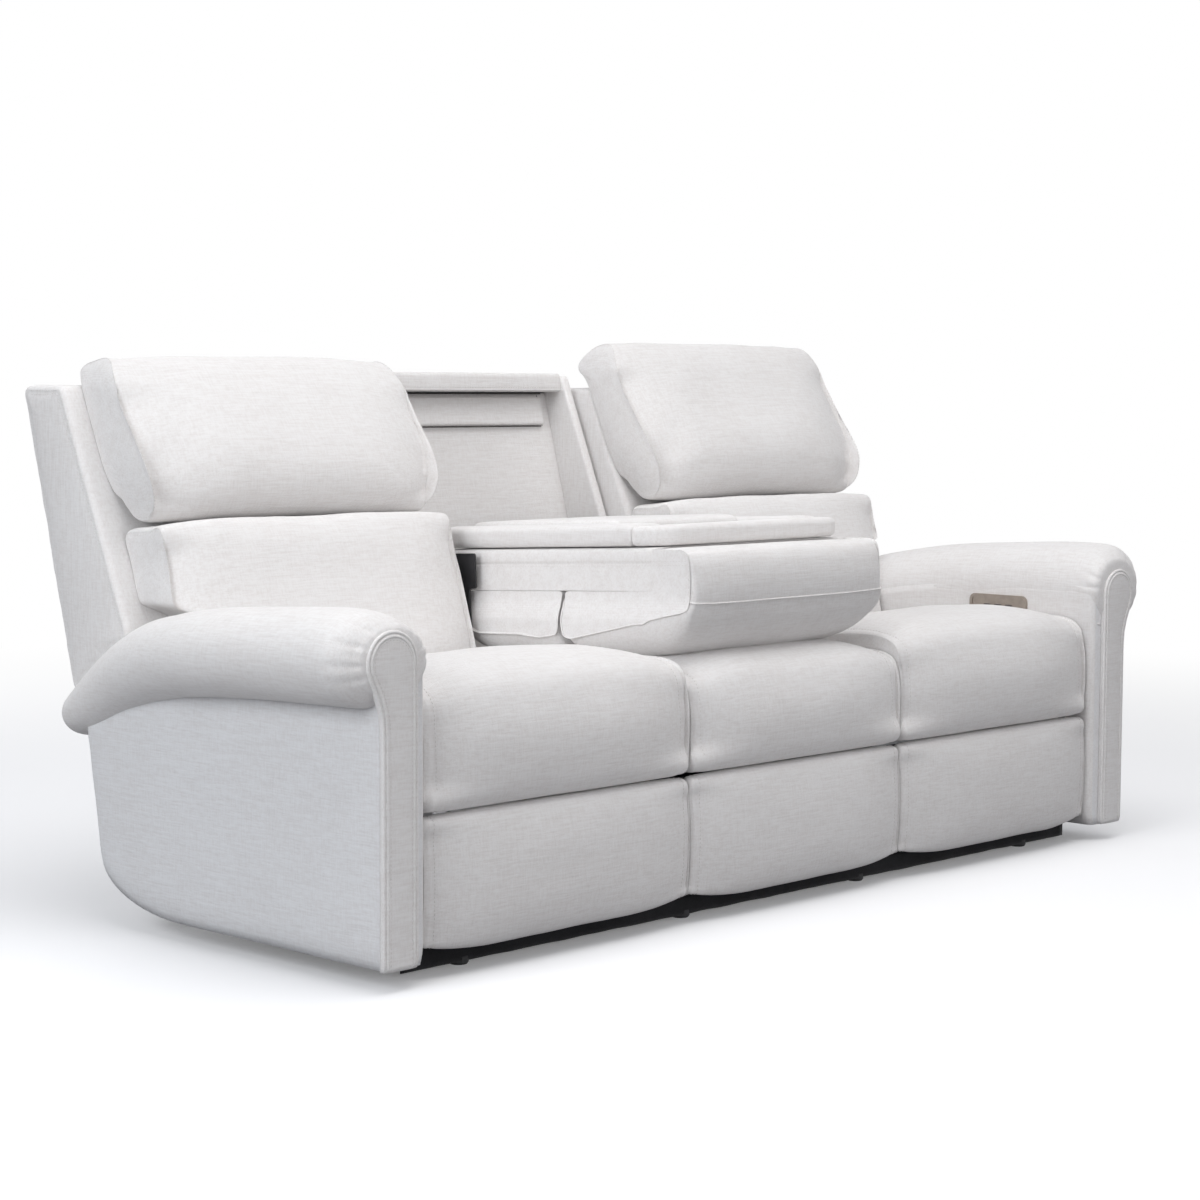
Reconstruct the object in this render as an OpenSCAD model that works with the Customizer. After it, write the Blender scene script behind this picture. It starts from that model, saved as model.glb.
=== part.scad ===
// Three seat reclining sofa whose middle back folds down as a console.
// X runs along the seats, the front faces -Y, Z is up and the floor is zero.

/* [Overall] */
// Distance over the two flat outer side panels
body_w = 2100; // [2060:10:2200]
// Distance from the front of the arms to the top rear edge of the recess
body_d = 1018; // [1010:4:1060]
// Height of the underside of the arms above the floor
arm_lift = 35; // [30:1:45]
// Height of the top of the recess
recess_top_z = 985; // [980:1:995]
// Height of the flat top of the back shells
shell_top_z = 960; // [950:2:966]
// Lean of the rear face of the backs from upright, degrees
rear_lean = 15.2; // [14:0.2:17]
// Lean of the front face of the back shells from upright, degrees
front_lean = 24; // [22:0.5:25]
// Depth of the back shells at their top edge
shell_top_d = 125; // [120:5:150]

/* [Arms] */
// Width of an arm under its roll
arm_w = 100; // [90:5:110]
// Half height of the roll at the front
roll_r = 92; // [84:1:96]
// Height of the centre of the roll at the front
roll_z = 535; // [525:5:550]
// Distance from the rear tip of the roll to the rear of the sofa
roll_back = 150; // [142:2:168]
// Drop of the centre of the roll from front to rear tip
roll_drop = 182; // [170:2:195]
// Half height of the roll at its rear tip
roll_tip_r = 34; // [30:1:40]
// Half width of the roll at its rear tip
roll_tip_w = 60; // [54:1:66]
// Length of the rear part of the roll, over which it falls and thins
roll_fall_l = 416; // [400:4:440]
// Thickness of the upholstered front scroll panel
scroll_t = 14; // [10:1:18]
// Width of the stem of the front scroll panel
scroll_w = 72; // [64:2:80]
// Radius of the round head of the front scroll panel
scroll_r = 52; // [46:1:58]
// Distance from the rear edge of the side panel to the rear of the sofa
side_back = 246; // [228:2:258]
// Length of the curved rear bottom corner of the side panel
side_curve_d = 232; // [200:4:260]
// Height of the curved rear bottom corner of the side panel
side_curve_h = 92; // [80:2:110]

/* [Seats] */
// Width of each seat from seam to seam
seat_pitch = 610; // [606:1:616]
// Gap between neighbouring upholstered pieces
seam_gap = 6; // [5:0.5:8]
// Distance from the arm front to the front of the seat cushions
cushion_front_y = 6; // [4:1:12]
// Distance from the rear of the seat cushions to the rear of the sofa
cushion_back = 462; // [458:2:472]
// Height of the crown of the outer seat cushions
cushion_top_z = 500; // [492:1:508]
// Height of the crown of the middle seat cushion
mid_cushion_top_z = 470; // [464:1:471]
// Height of the drooping front roll of the seat cushions
cushion_low_z = 275; // [274:1:282]
// Height of the flat underside of the seat cushions
deck_z = 356; // [352:1:360]
// Thickness of the sprung seat decks
deck_t = 22; // [18:1:24]
// Distance from the arm front to the face of the footrest panels
pad_front_y = 14; // [12:1:20]
// Depth of the footrest padding
pad_t = 48; // [42:1:50]
// Thickness of the footrest boards
board_t = 15; // [12:1:16]
// Height of the lower edge of the footrest panels
pad_low_z = 42; // [40:1:46]
// Height of the upper edge of the footrest panels
pad_top_z = 269; // [262:1:270]

/* [Back cushions] */
// Thickness of the head pillows
head_t = 128; // [116:2:134]
// Height of the lower edge of the head pillows
head_low_z = 726; // [722:1:730]
// Height of the crown of the head pillows
head_top_z = 1040; // [1020:5:1050]
// Radius of the lower front roll of the head pillows, which is the headrest axis
head_nose_r = 52; // [48:1:56]
// Thickness of the lumbar pillows
lumbar_t = 112; // [100:2:116]
// Height of the lower edge of the lumbar pillows
lumbar_low_z = 380; // [372:2:388]
// Height of the upper edge of the lumbar pillows
lumbar_top_z = 712; // [700:1:714]
// Clearance between a pillow and the shell behind it
pillow_gap = 0.4; // [0.3:0.1:1]

/* [Recline hinge] */
// Distance from the recline axis to the rear of the sofa
recline_back = 368; // [358:2:378]
// Height of the recline axis
recline_z = 145; // [130:5:150]
// Radius of the recline pins
recline_pin_r = 7; // [6:0.5:8]

/* [Footrest links] */
// Distance from the arm front to the main link axis
main_y = 258; // [256:1:262]
// Height of the main link axis
main_z = 272; // [270:1:274]
// Length of the main links between their pivots
main_l = 224; // [222:1:225]
// Rest angle of the main links below the horizontal, degrees
main_rest_angle = 63; // [62:0.5:65]
// Forward reach of the carrying links between their pivots
carry_reach = 235; // [230:1:236]
// Rise of the carrying links between their pivots
carry_rise = 70; // [68:1:72]
// Distance from the main links to the parallel guide links
guide_offset = 60; // [56:1:62]
// Half width of the link bars
link_hw = 11; // [10:0.5:12]
// Thickness of the link bars and hinge plates
link_t = 4; // [3:0.5:4.5]
// Sideways clearance between neighbouring link bars
link_gap = 1; // [0.8:0.1:1.2]
// Radius of the link pins
link_pin_r = 5; // [4:0.5:6]
// Clearance round each pin
pin_clearance = 0.3; // [0.2:0.05:0.4]
// Side of the square torque tubes
torque_side = 22; // [20:1:24]

/* [Console] */
// Distance from the console axis to the rear of the sofa
console_back = 385; // [382:1:388]
// Height of the console axis
console_z = 497; // [494:1:500]
// Rise of the folded console towards its front, degrees
console_slope = 3; // [2.5:0.1:3.2]
// Half width of the console box and rails
console_hw = 270; // [262:1:271]
// Half width of the two pillows under the console box
console_pillow_hw = 286; // [282:1:288]
// Distance from the console axis forward to the front of its head pillow
console_reach = 586; // [570:2:590]
// Distance that the head pillow of the console reaches past the rails
console_front_lap = 80; // [78:1:90]
// Distance from the console axis back to the rear of its rails
console_tail = 96; // [90:1:100]
// Drop of the pillow underside below the console axis
console_low = 50; // [46:1:52]
// Rise of the flat top of the pillows above the console axis
console_seam = 70; // [68:1:74]
// Rise of the top of the console box above the console axis
console_box_top = 150; // [146:1:152]
// Thickness of the padded rails
rail_t = 37; // [32:1:40]
// Width of the side rails
side_rail_w = 96; // [80:2:110]
// Width of the front rail
front_rail_w = 74; // [66:2:80]
// Length of the cup holder tray between the front rail and the raised pad
tray_l = 122; // [116:1:130]
// Thickness of the raised middle pad
slab_t = 50; // [44:1:52]
// Inner radius of the cup holders
cup_r = 43; // [38:1:45]
// Depth of the cup holders
cup_depth = 66; // [55:1:70]
// Wall of the cup holder liners
cup_wall = 2; // [1.5:0.1:3]
// Width of the lip round the cup holders
cup_lip = 6; // [4:1:7]

/* [Recess] */
// Half width of the open recess
recess_hw = 276; // [275:0.5:278]
// Thickness of the recess side posts
post_t = 22; // [20:0.5:22]
// Depth of the recess side walls at the top
post_top_d = 82; // [78:1:90]
// Thickness of the recess back panel
back_panel_t = 12; // [10:1:15]
// Thickness of the outer rear cover
rear_cover_t = 10; // [8:1:12]
// Height of the recess top rail
top_rail_h = 34; // [30:1:36]
// Height of the padded stop strip
strip_h = 60; // [50:2:66]
// Thickness of the padded stop strip
strip_t = 14; // [10:1:15]

/* [Base] */
// Height of the underside of the base rails
rail_low_z = 18; // [16:1:20]
// Height of the base rails
base_rail_h = 26; // [22:1:28]
// Width of the base rails
base_rail_w = 24; // [20:1:28]
// Distance from the outer side panels in to the ends of the front base rail
base_inset = 178; // [170:1:184]
// Distance from the arm front to the front base rail
base_front_y = 84; // [76:2:90]
// Distance from the front of the rear base rail to the rear of the sofa
base_back = 306; // [298:2:318]
// Radius of the glides
foot_r = 17; // [14:1:20]

/* [Switches] */
// Length of the switch bezels
bezel_l = 150; // [130:5:160]
// Height of the switch bezels
bezel_h = 58; // [50:2:66]
// Thickness of the switch bezels
bezel_t = 5; // [4:0.5:6]
// Distance from the arm front to the centre of the bezels
bezel_y = 257; // [245:2:270]
// Height of the centre of the bezels
bezel_z = 486; // [484:1:488]
// Distance between buttons
button_pitch = 28; // [26:1:30]
// Half length of a button
button_hl = 9; // [8:0.5:10]
// Travel of a button
button_travel = 2; // [1.5:0.1:2.2]

/* [Hidden] */
$fn = 32;
// Share of an edge that each pass of corner cutting takes off
cut_share = 0.25;
// Overrun of a cut beyond the face that it opens
over = 1;
// Face to face clearance of soft pieces and of fitted plates
touch_gap = 0.3;

// Places measured from the rear, from the sides and from the console's front
side_d = body_d - side_back;
roll_len = body_d - roll_back;
cushion_rear_y = body_d - cushion_back;
recline_y = body_d - recline_back;
console_y = body_d - console_back;
base_rear_y = body_d - base_back;
base_hw = body_w / 2 - base_inset;
console_rail_reach = console_reach - console_front_lap;

// Seat places
arm_inner_x = body_w / 2 - arm_w;
seat_hw = seat_pitch / 2;
seat_x0 = seat_hw + seam_gap / 2;
seat_x1 = arm_inner_x - 2 * seam_gap;
seat_mid_x = (seat_x0 + seat_x1) / 2;
side_seat_hw = (seat_x1 - seat_x0) / 2;
mid_seat_hw = seat_hw - seam_gap / 2;
wing_x = body_w / 2 - seam_gap;
pillow_x1 = wing_x - post_t - seam_gap;
rail_high_z = rail_low_z + base_rail_h;

// Y of the sloping rear, shell front and recess front planes at a height
post_lean = 22;
function rear_in(z) = rear_y(z) - rear_cover_t;
function rear_y(z) = body_d - (recess_top_z - z) * tan(rear_lean);
function shell_y(z) = rear_y(shell_top_z) - shell_top_d - (shell_top_z - z) * tan(front_lean);
function post_y(z) = body_d - post_top_d - (recess_top_z - z) * tan(post_lean);

// Corner cutting of a closed outline, repeated n times
function cut_once(p) = [
    for (i = [0:len(p) - 1], t = [cut_share, 1 - cut_share])
        p[i] * (1 - t) + p[(i + 1) % len(p)] * t
];
function softened(p, n) = n == 0 ? p : softened(cut_once(p), n - 1);

// The same for an open run of points, whose two ends stay sharp
function cut_run(p) = concat([p[0]], [
    for (i = [0:len(p) - 2], t = [cut_share, 1 - cut_share]) p[i] * (1 - t) + p[i + 1] * t
], [p[len(p) - 1]]);

// A closed outline whose corners are arcs of radius r made of n chords
function corner_arc(a, b, c, r, n) =
    let (
        u = (a - b) / norm(a - b),
        v = (c - b) / norm(c - b),
        half = acos(u * v) / 2,
        m = b + (u + v) / norm(u + v) * r / sin(half),
        s = b + u * r / tan(half) - m,
        e = b + v * r / tan(half) - m
    )
    [for (i = [0:n]) let (d = s * (n - i) + e * i) m + d / norm(d) * r];
function rounded(p, r, n = 3) = [
    for (i = [0:len(p) - 1])
        each corner_arc(p[(i + len(p) - 1) % len(p)], p[i], p[(i + 1) % len(p)], r, n)
];

// Every sub-part is drawn from the arm front and then moved over the origin
module placed()
    translate([0, -body_d / 2, 0])
        children();

// A plate whose outline is drawn in Y and Z and which runs from x0 to x1
module side_plate(outline, x0, x1)
    translate([x0, 0, 0])
        rotate([90, 0, 90])
            linear_extrude(x1 - x0)
                polygon(outline);

// A round bar along X from x0 to x1
module bar_x(y, z, r, x0, x1)
    translate([x0, y, z])
        rotate([0, 90, 0])
            cylinder(h = x1 - x0, r = r);

// A block between two corners
module block(a, b)
    translate(a)
        cube(b - a);

// The same piece on both sides of the middle of the sofa
module on_side(s)
    mirror([s < 0 ? 1 : 0, 0, 0])
        children();

// Rings of points joined into one closed skin with a middle point at each end
module skin(rings, end_a, end_b) {
    m = len(rings);
    n = len(rings[0]);
    points = concat([for (r = rings) each r], [end_a, end_b]);
    sides = [
        for (k = [0:m - 2], i = [0:n - 1])
            let (j = (i + 1) % n, a = k * n, b = a + n)
            each [[a + i, b + i, b + j], [a + i, b + j, a + j]]
    ];
    cap_a = [for (i = [0:n - 1]) [m * n, i, (i + 1) % n]];
    cap_b = [for (i = [0:n - 1]) [m * n + 1, (m - 1) * n + (i + 1) % n, (m - 1) * n + i]];
    polyhedron(points, concat(sides, cap_a, cap_b));
}

// Places along half a pad and how far its outline draws in at each
pad_inner_shares = [0.4, 0.75];
pad_edge_angles = [0, 45, 90];
function pad_half(hw, edge_r, crown) = concat(
    [for (s = pad_inner_shares) [s * hw, crown * s * s]],
    [for (a = pad_edge_angles) [hw - edge_r * (1 - sin(a)), crown + edge_r * (1 - cos(a))]]
);
function pad_stations(hw, edge_r, crown) =
    let (h = pad_half(hw, edge_r, crown), n = len(h))
    concat([for (i = [n - 1:-1:0]) [-h[i][0], h[i][1]]], [[0, 0]], h);

// A padded form: its outline in Y and Z draws in towards both ends along X
module pad(outline, hub, x0, x1, edge_r, crown, bulge) {
    ys = [for (p = outline) p[0]];
    zs = [for (p = outline) p[1]];
    mid = [(max(ys) + min(ys)) / 2, (max(zs) + min(zs)) / 2];
    half = [(max(ys) - min(ys)) / 2, (max(zs) - min(zs)) / 2];
    x_mid = (x0 + x1) / 2;
    hw = (x1 - x0) / 2 - bulge;
    last = crown + edge_r;
    function drawn(p, inset) = [
        mid[0] + (p[0] - mid[0]) * (1 - inset / half[0]),
        mid[1] + (p[1] - mid[1]) * (1 - inset / half[1])
    ];
    rings = [
        for (s = pad_stations(hw, edge_r, crown))
            [for (p = outline) [x_mid + s[0], each drawn(p, s[1])]]
    ];
    tip = drawn(hub, last);
    skin(rings, [x_mid - hw - bulge, tip[0], tip[1]], [x_mid + hw + bulge, tip[0], tip[1]]);
}

// Seat cushion outline: shares of the depth, and of the height above or below the deck
seat_outline_shares = [
    [1, 0], [1, 0.42], [0.62, 0.74], [0.24, 1.02], [0.035, 0.97],
    [0, 0.3], [0.008, -0.7], [0.05, -1], [0.14, -1], [0.185, -0.6], [0.212, 0]
];
seat_hub_shares = [0.13, 0.3];
function seat_point(s, top) = [
    cushion_front_y + (cushion_rear_y - cushion_front_y) * s[0],
    deck_z + touch_gap + s[1] * (s[1] < 0 ? deck_z - cushion_low_z : top - deck_z)
];
function seat_outline(top) =
    cut_run(cut_run([for (s = seat_outline_shares) seat_point(s, top)]));

// Footrest padding outline: shares of its depth and height
pad_outline_shares = [
    [1, 0], [1, 1], [0.3, 1], [0.02, 0.82], [0, 0.5], [0.03, 0.1], [0.3, 0]
];
pad_hub_shares = [0.5, 0.5];
function pad_point(s) = [pad_front_y + pad_t * s[0], pad_low_z + (pad_top_z - pad_low_z) * s[1]];

// Pillow outlines on the sloping shell: shares of the thickness and of the height
head_outline_shares = [
    [0, 0.12], [0, 0.96], [0.16, 1.04], [0.62, 1.02], [0.86, 0.84], [1.03, 0.42]
];
lumbar_outline_shares = [
    [0, 0], [0, 1], [0.6, 1.01], [1, 0.94], [0.96, 0.5], [0.78, 0.1], [0.5, 0]
];
function back_point(s, t, z0, z1) =
    let (z = z0 + (z1 - z0) * s[1])
    [shell_y(z) - pillow_gap - t * s[0], z];

// The head pillow ends below in a round nose about the headrest axis
head_axis_z = head_low_z + head_nose_r;
head_axis_y = shell_y(head_axis_z) - pillow_gap - head_t + head_nose_r;
nose_angles = [165, 200, 235, 270, 305, 340];
function nose_point(a) = [head_axis_y + head_nose_r * cos(a), head_axis_z + head_nose_r * sin(a)];
function head_outline() = concat(
    cut_once(cut_once([for (s = head_outline_shares) back_point(s, head_t, head_low_z, head_top_z)])),
    [for (a = nose_angles) nose_point(a)]
);

// Roll of the arm: height of its centre, half height and half width along Y
function roll_run(y) = max(0, 1 - (roll_len - y) / roll_fall_l);
function roll_zc(y) = roll_z - roll_drop * (roll_near_share * y / roll_len
    + (1 - roll_near_share) * pow(roll_run(y), 1.5));
roll_near_share = 0.1;
roll_front_share = 0.22;
roll_swell_l = roll_r / 2;
function roll_swell(y) = 1 - roll_front_share
    * pow(1 - min(1, (y - scroll_t) / roll_swell_l), 2);
function roll_rz(y) = roll_swell(y) * (roll_r - (roll_r - roll_tip_r) * roll_run(y));
function roll_rx(y) = roll_swell(y) * (roll_r - (roll_r - roll_tip_w) * roll_run(y));
function roll_start(y) = -acos(min(1, arm_w / roll_rx(y) - 1));
function roll_under_z(y) = roll_zc(y) + roll_rz(y) * sin(roll_start(y));
roll_y_shares = [0, 0.02, 0.055, 0.2, 0.4, 0.52, 0.6, 0.68, 0.76, 0.84, 0.92, 1];
roll_ys = [for (s = roll_y_shares) scroll_t + (roll_len - scroll_t) * s];
roll_steps = 12;

// The rear edge of the arm side leans back and ends under the roll
side_steps = 6;
side_outline = concat(
    [[scroll_t, arm_lift]],
    [
        for (i = [0:side_steps])
            let (a = 90 * i / side_steps)
            [side_d - side_curve_d * (1 - sin(a)), arm_lift + side_curve_h * (1 - cos(a))]
    ],
    [for (i = [len(roll_ys) - 2:-1:0]) [roll_ys[i], roll_under_z(roll_ys[i])]]
);

// Reclining shells: the wings end just above the rolls of the arms
wing_front_z = 522;
wing_rear_z = 406;
shell_low_z = 150;
shell_wide_z = 312;
shell_low_back = 390;
shell_low_y = body_d - shell_low_back;
shell_r = 12;
shell_x0 = seat_x0 + touch_gap;

// Link planes: 0 holds the side plate and the carrying link, 1 the main link, -1 the guide
mech_inset = 22;
mech_hw = side_seat_hw - mech_inset;
link_step = link_t + link_gap;
function link_x(k) = -mech_hw + k * link_step;
function link_end(k) = link_x(k) + link_t - touch_gap * max(0, k);
shell_low_hw = mech_hw - link_step - link_t;
main_rest = [
    main_y + main_l * cos(main_rest_angle),
    main_z - main_l * sin(main_rest_angle)
];
foot_axis = [main_rest[0] - carry_reach, main_rest[1] + carry_rise];
guide_axis = [main_y - guide_offset, main_z];
guide_rest = [main_rest[0] - guide_offset, main_rest[1]];
main_axis = [main_y, main_z];
bar_top_z = 300;
bar_low_z = 257;
bar_front_y = 182;
plate_foot_y = 440;
plate_foot_d = 120;
plate_edge = 20;
plate_r = 8;
cross_y = 470;
cross_w = base_rail_w;
cross_high_z = rail_high_z + base_rail_h;
deck_front_y = 160;
deck_rail_w = 20;

// A link bar between two pivots, and the bore at a pivot
module link_bar(a, b, x0) {
    d = b - a;
    bar_x(a[0], a[1], link_hw, x0, x0 + link_t);
    bar_x(b[0], b[1], link_hw, x0, x0 + link_t);
    translate([x0, a[0], a[1]])
        rotate([atan2(d[1], d[0]), 0, 0])
            translate([0, 0, -link_hw])
                cube([link_t, norm(d), 2 * link_hw]);
}
module link_bore(p, r, x0)
    bar_x(p[0], p[1], r + pin_clearance, x0 - over, x0 + link_t + over);

// Both link sets of one seat, mirrored about the middle of that seat
module both_sets(s)
    on_side(s)
        translate([seat_mid_x, 0, 0]) {
            children();
            mirror([1, 0, 0])
                children();
        }

base_runner_xs = [
    -base_hw + base_rail_w / 2, -mid_seat_hw + 2 * base_rail_w,
    mid_seat_hw - 2 * base_rail_w, base_hw - base_rail_w / 2
];
foot_inset = 4 * foot_r;
foot_xs = [-base_hw + foot_inset, base_runner_xs[1], base_runner_xs[2], base_hw - foot_inset];
foot_ys = [base_front_y + base_rail_w / 2, base_rear_y + base_rail_w / 2];

// Black steel base: two long rails with four runners welded between them
module base_frame()
    color("dimgray")
        placed() {
            block([-base_hw, base_front_y, rail_low_z],
                [base_hw, base_front_y + base_rail_w, rail_high_z]);
            block([-arm_inner_x, base_rear_y, rail_low_z],
                [arm_inner_x, base_rear_y + base_rail_w, rail_high_z]);
            for (x = base_runner_xs)
                block([x - base_rail_w / 2, base_front_y + base_rail_w / 2, rail_low_z],
                    [x + base_rail_w / 2, base_rear_y + base_rail_w / 2, rail_high_z]);
        }

module base_cross_beam()
    color("dimgray")
        placed()
            block([-arm_inner_x, cross_y, rail_high_z],
                [arm_inner_x, cross_y + cross_w, cross_high_z]);

foot_profile_shares = [[0, 0], [0.85, 0], [1, 0.2], [1, 0.8], [0.7, 1], [0, 1]];
module feet()
    color("black")
        placed()
            for (x = foot_xs, y = foot_ys)
                translate([x, y, 0])
                    rotate_extrude()
                        polygon([
                            for (s = foot_profile_shares) [foot_r * s[0], rail_low_z * s[1]]
                        ]);

// Arms
module arm_body(s)
    color("gainsboro")
        placed()
            on_side(s)
                side_plate(side_outline, arm_inner_x, body_w / 2);

roll_tip_share = 0.5;
function roll_ring(y, k, dy) =
    let (
        rx = roll_rx(y),
        rz = roll_rz(y),
        a0 = roll_start(y),
        x0 = arm_inner_x + rx,
        z0 = roll_zc(y),
        ring = concat(
            [
                for (i = [0:roll_steps])
                    let (a = a0 + (180 - a0) * i / roll_steps)
                    [x0 + rx * cos(a), z0 + rz * sin(a)]
            ],
            [[arm_inner_x, roll_under_z(y)]]
        )
    )
    [for (p = ring) [x0 + (p[0] - x0) * k, y + dy, z0 + (p[1] - z0) * k]];

roll_tip_d = roll_tip_r * roll_tip_share;
module arm_roll(s)
    color("whitesmoke")
        placed()
            on_side(s)
                skin(
                    concat(
                        [roll_ring(roll_len, roll_tip_share, roll_tip_d)],
                        [for (i = [len(roll_ys) - 1:-1:0]) roll_ring(roll_ys[i], 1, 0)]
                    ),
                    [arm_inner_x + roll_rx(roll_len), roll_len + roll_tip_d, roll_zc(roll_len)],
                    [arm_inner_x + roll_rx(scroll_t), scroll_t, roll_zc(scroll_t)]
                );

// Front scroll: a straight inner edge, a round head and a neck that swells out to it
scroll_x = body_w / 2 - scroll_w + scroll_r;
scroll_z = roll_z - roll_r / 10;
scroll_neck_z = scroll_z - 2 * scroll_r;
scroll_neck_a = -28;
scroll_neck_share = 0.7;
module scroll_panel(s)
    color("whitesmoke")
        placed()
            on_side(s)
                translate([0, scroll_t, 0])
                    rotate([90, 0, 0])
                        linear_extrude(scroll_t) {
                            translate([scroll_x, scroll_z])
                                circle(r = scroll_r, $fn = 48);
                            polygon([
                                [body_w / 2 - scroll_w, arm_lift],
                                [body_w / 2, arm_lift],
                                [body_w / 2, scroll_neck_z],
                                [
                                    body_w / 2 + scroll_r / 10,
                                    scroll_z - 2 * scroll_r * scroll_neck_share
                                ],
                                [
                                    scroll_x + scroll_r * cos(scroll_neck_a),
                                    scroll_z + scroll_r * sin(scroll_neck_a)
                                ],
                                [scroll_x, scroll_z],
                                [body_w / 2 - scroll_w, scroll_z]
                            ]);
                        }

// Seats
module seat_decks()
    color("burlywood")
        placed()
            for (x = [[-seat_x1, -seat_x0], [-mid_seat_hw, mid_seat_hw], [seat_x0, seat_x1]])
                block([x[0], deck_front_y, deck_z - deck_t], [x[1], cushion_rear_y, deck_z]);

mid_post_ys = [bar_front_y, cushion_rear_y - 2 * base_rail_w];
module deck_supports()
    color("burlywood")
        placed() {
            for (s = [-1, 1])
                both_sets(s)
                    block([link_x(0) - link_hw / 2, bar_front_y, bar_top_z],
                        [link_x(0) - link_hw / 2 + deck_rail_w, cushion_rear_y, deck_z - deck_t]);
            for (i = [1, 2], y = mid_post_ys)
                block([base_runner_xs[i] - base_rail_w / 2, y, rail_high_z],
                    [base_runner_xs[i] + base_rail_w / 2, y + base_rail_w, deck_z - deck_t]);
        }

cushion_edge_r = 26;
cushion_crown = 14;
cushion_bulge = 5;
module seat_cushion(x0, x1, top)
    color("white")
        placed()
            pad(seat_outline(top), seat_point(seat_hub_shares, top), x0, x1,
                cushion_edge_r, cushion_crown, cushion_bulge);

pad_edge_r = 14;
pad_crown = 6;
pad_bulge = 4;
module front_padding(x0, x1)
    color("white")
        placed()
            pad(cut_once([for (s = pad_outline_shares) pad_point(s)]), pad_point(pad_hub_shares),
                x0, x1, pad_edge_r, pad_crown, pad_bulge);

board_inset = 16;
board_front_y = pad_front_y + pad_t;
board_rear_y = board_front_y + board_t;
module front_board(x0, x1)
    color("burlywood")
        placed()
            block([x0 + board_inset, board_front_y, pad_low_z + board_inset / 2],
                [x1 - board_inset, board_rear_y, pad_top_z - board_inset / 2]);

module mid_front_board()
    color("burlywood")
        placed() {
            block([-mid_seat_hw + board_inset, board_front_y, pad_low_z + board_inset / 2],
                [mid_seat_hw - board_inset, board_rear_y, pad_top_z - board_inset / 2]);
            for (i = [1, 2])
                block([base_runner_xs[i] - base_rail_w / 2, board_rear_y, rail_high_z],
                    [base_runner_xs[i] + base_rail_w / 2, base_front_y + base_rail_w,
                        pad_top_z - board_inset]);
        }

// Recliner mechanism: side plates with their fixed studs
plate_outline = rounded([
    [bar_front_y, bar_low_z],
    [plate_foot_y - plate_edge, bar_low_z],
    [plate_foot_y, rail_high_z + 4 * plate_edge],
    [plate_foot_y, cross_high_z],
    [plate_foot_y + plate_foot_d, cross_high_z],
    [recline_y + plate_edge, recline_z - plate_edge],
    [recline_y + plate_edge, recline_z + plate_edge],
    [cushion_rear_y + 2 * plate_edge, bar_top_z],
    [bar_front_y, bar_top_z]
], plate_r);
module mech_plates()
    color("silver")
        placed()
            for (s = [-1, 1])
                both_sets(s) {
                    side_plate(plate_outline, link_x(0), link_x(0) + link_t);
                    bar_x(main_axis[0], main_axis[1], link_pin_r, link_x(0), link_end(1));
                    bar_x(guide_axis[0], guide_axis[1], link_pin_r, link_x(-1), link_end(0));
                    bar_x(recline_y, recline_z, recline_pin_r, link_x(0), link_end(1));
                }

// Main links joined by the square torque tube
module main_links(s)
    color("silver")
        placed()
            on_side(s) {
                tube_hw = -link_x(1) - link_t;
                translate([seat_mid_x - tube_hw, main_axis[0], main_axis[1]])
                    rotate([-main_rest_angle, 0, 0])
                        translate([0, -torque_side / 2, -torque_side / 2])
                            cube([2 * tube_hw, torque_side, torque_side]);
                for (m = [0, 1])
                    translate([seat_mid_x, 0, 0])
                        mirror([m, 0, 0])
                            difference() {
                                link_bar(main_axis, main_rest, link_x(1));
                                link_bore(main_axis, link_pin_r, link_x(1));
                                link_bore(main_rest, link_pin_r, link_x(1));
                            }
            }

module guide_links(s)
    color("silver")
        placed()
            both_sets(s)
                difference() {
                    link_bar(guide_axis, guide_rest, link_x(-1));
                    link_bore(guide_axis, link_pin_r, link_x(-1));
                    link_bore(guide_rest, link_pin_r, link_x(-1));
                }

// Carrying links: a bar with a lug for the guide link, and fixed studs
carry_round_share = 0.85;
carry_u = (foot_axis - main_rest) / norm(foot_axis - main_rest);
carry_n = [carry_u[1], -carry_u[0]];
carry_outline = rounded([
    main_rest - link_hw * (carry_u + carry_n),
    main_rest - link_hw * (carry_u - carry_n),
    foot_axis + link_hw * (carry_u + carry_n),
    foot_axis + link_hw * (carry_u - carry_n),
    main_rest + (guide_offset + 2 * link_hw) * carry_u - link_hw * carry_n,
    guide_rest - [link_hw, link_hw]
], carry_round_share * link_hw);
module carry_links(s)
    color("silver")
        placed()
            both_sets(s) {
                side_plate(carry_outline, link_x(0), link_x(0) + link_t);
                bar_x(main_rest[0], main_rest[1], link_pin_r, link_x(0), link_end(1));
                bar_x(foot_axis[0], foot_axis[1], link_pin_r, link_x(0), link_end(1));
                bar_x(guide_rest[0], guide_rest[1], link_pin_r, link_x(-1), link_end(0));
            }

bracket_h = 80;
bracket_low_z = foot_axis[1] - bracket_h / 2;
bracket_high_z = foot_axis[1] + bracket_h / 2;
module footrest_brackets(s)
    color("silver")
        placed()
            both_sets(s)
                difference() {
                    union() {
                        bar_x(foot_axis[0], foot_axis[1], link_hw, link_x(1), link_end(1));
                        side_plate([
                            [board_rear_y, bracket_low_z + link_hw],
                            [foot_axis[0], foot_axis[1] - link_hw],
                            [foot_axis[0], foot_axis[1] + link_hw],
                            [board_rear_y, bracket_high_z - link_hw]
                        ], link_x(1), link_end(1));
                        block([link_x(1), board_rear_y, bracket_low_z],
                            [link_x(1) + 2 * link_hw, board_rear_y + link_t, bracket_high_z]);
                    }
                    link_bore(foot_axis, link_pin_r, link_x(1));
                }

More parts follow.
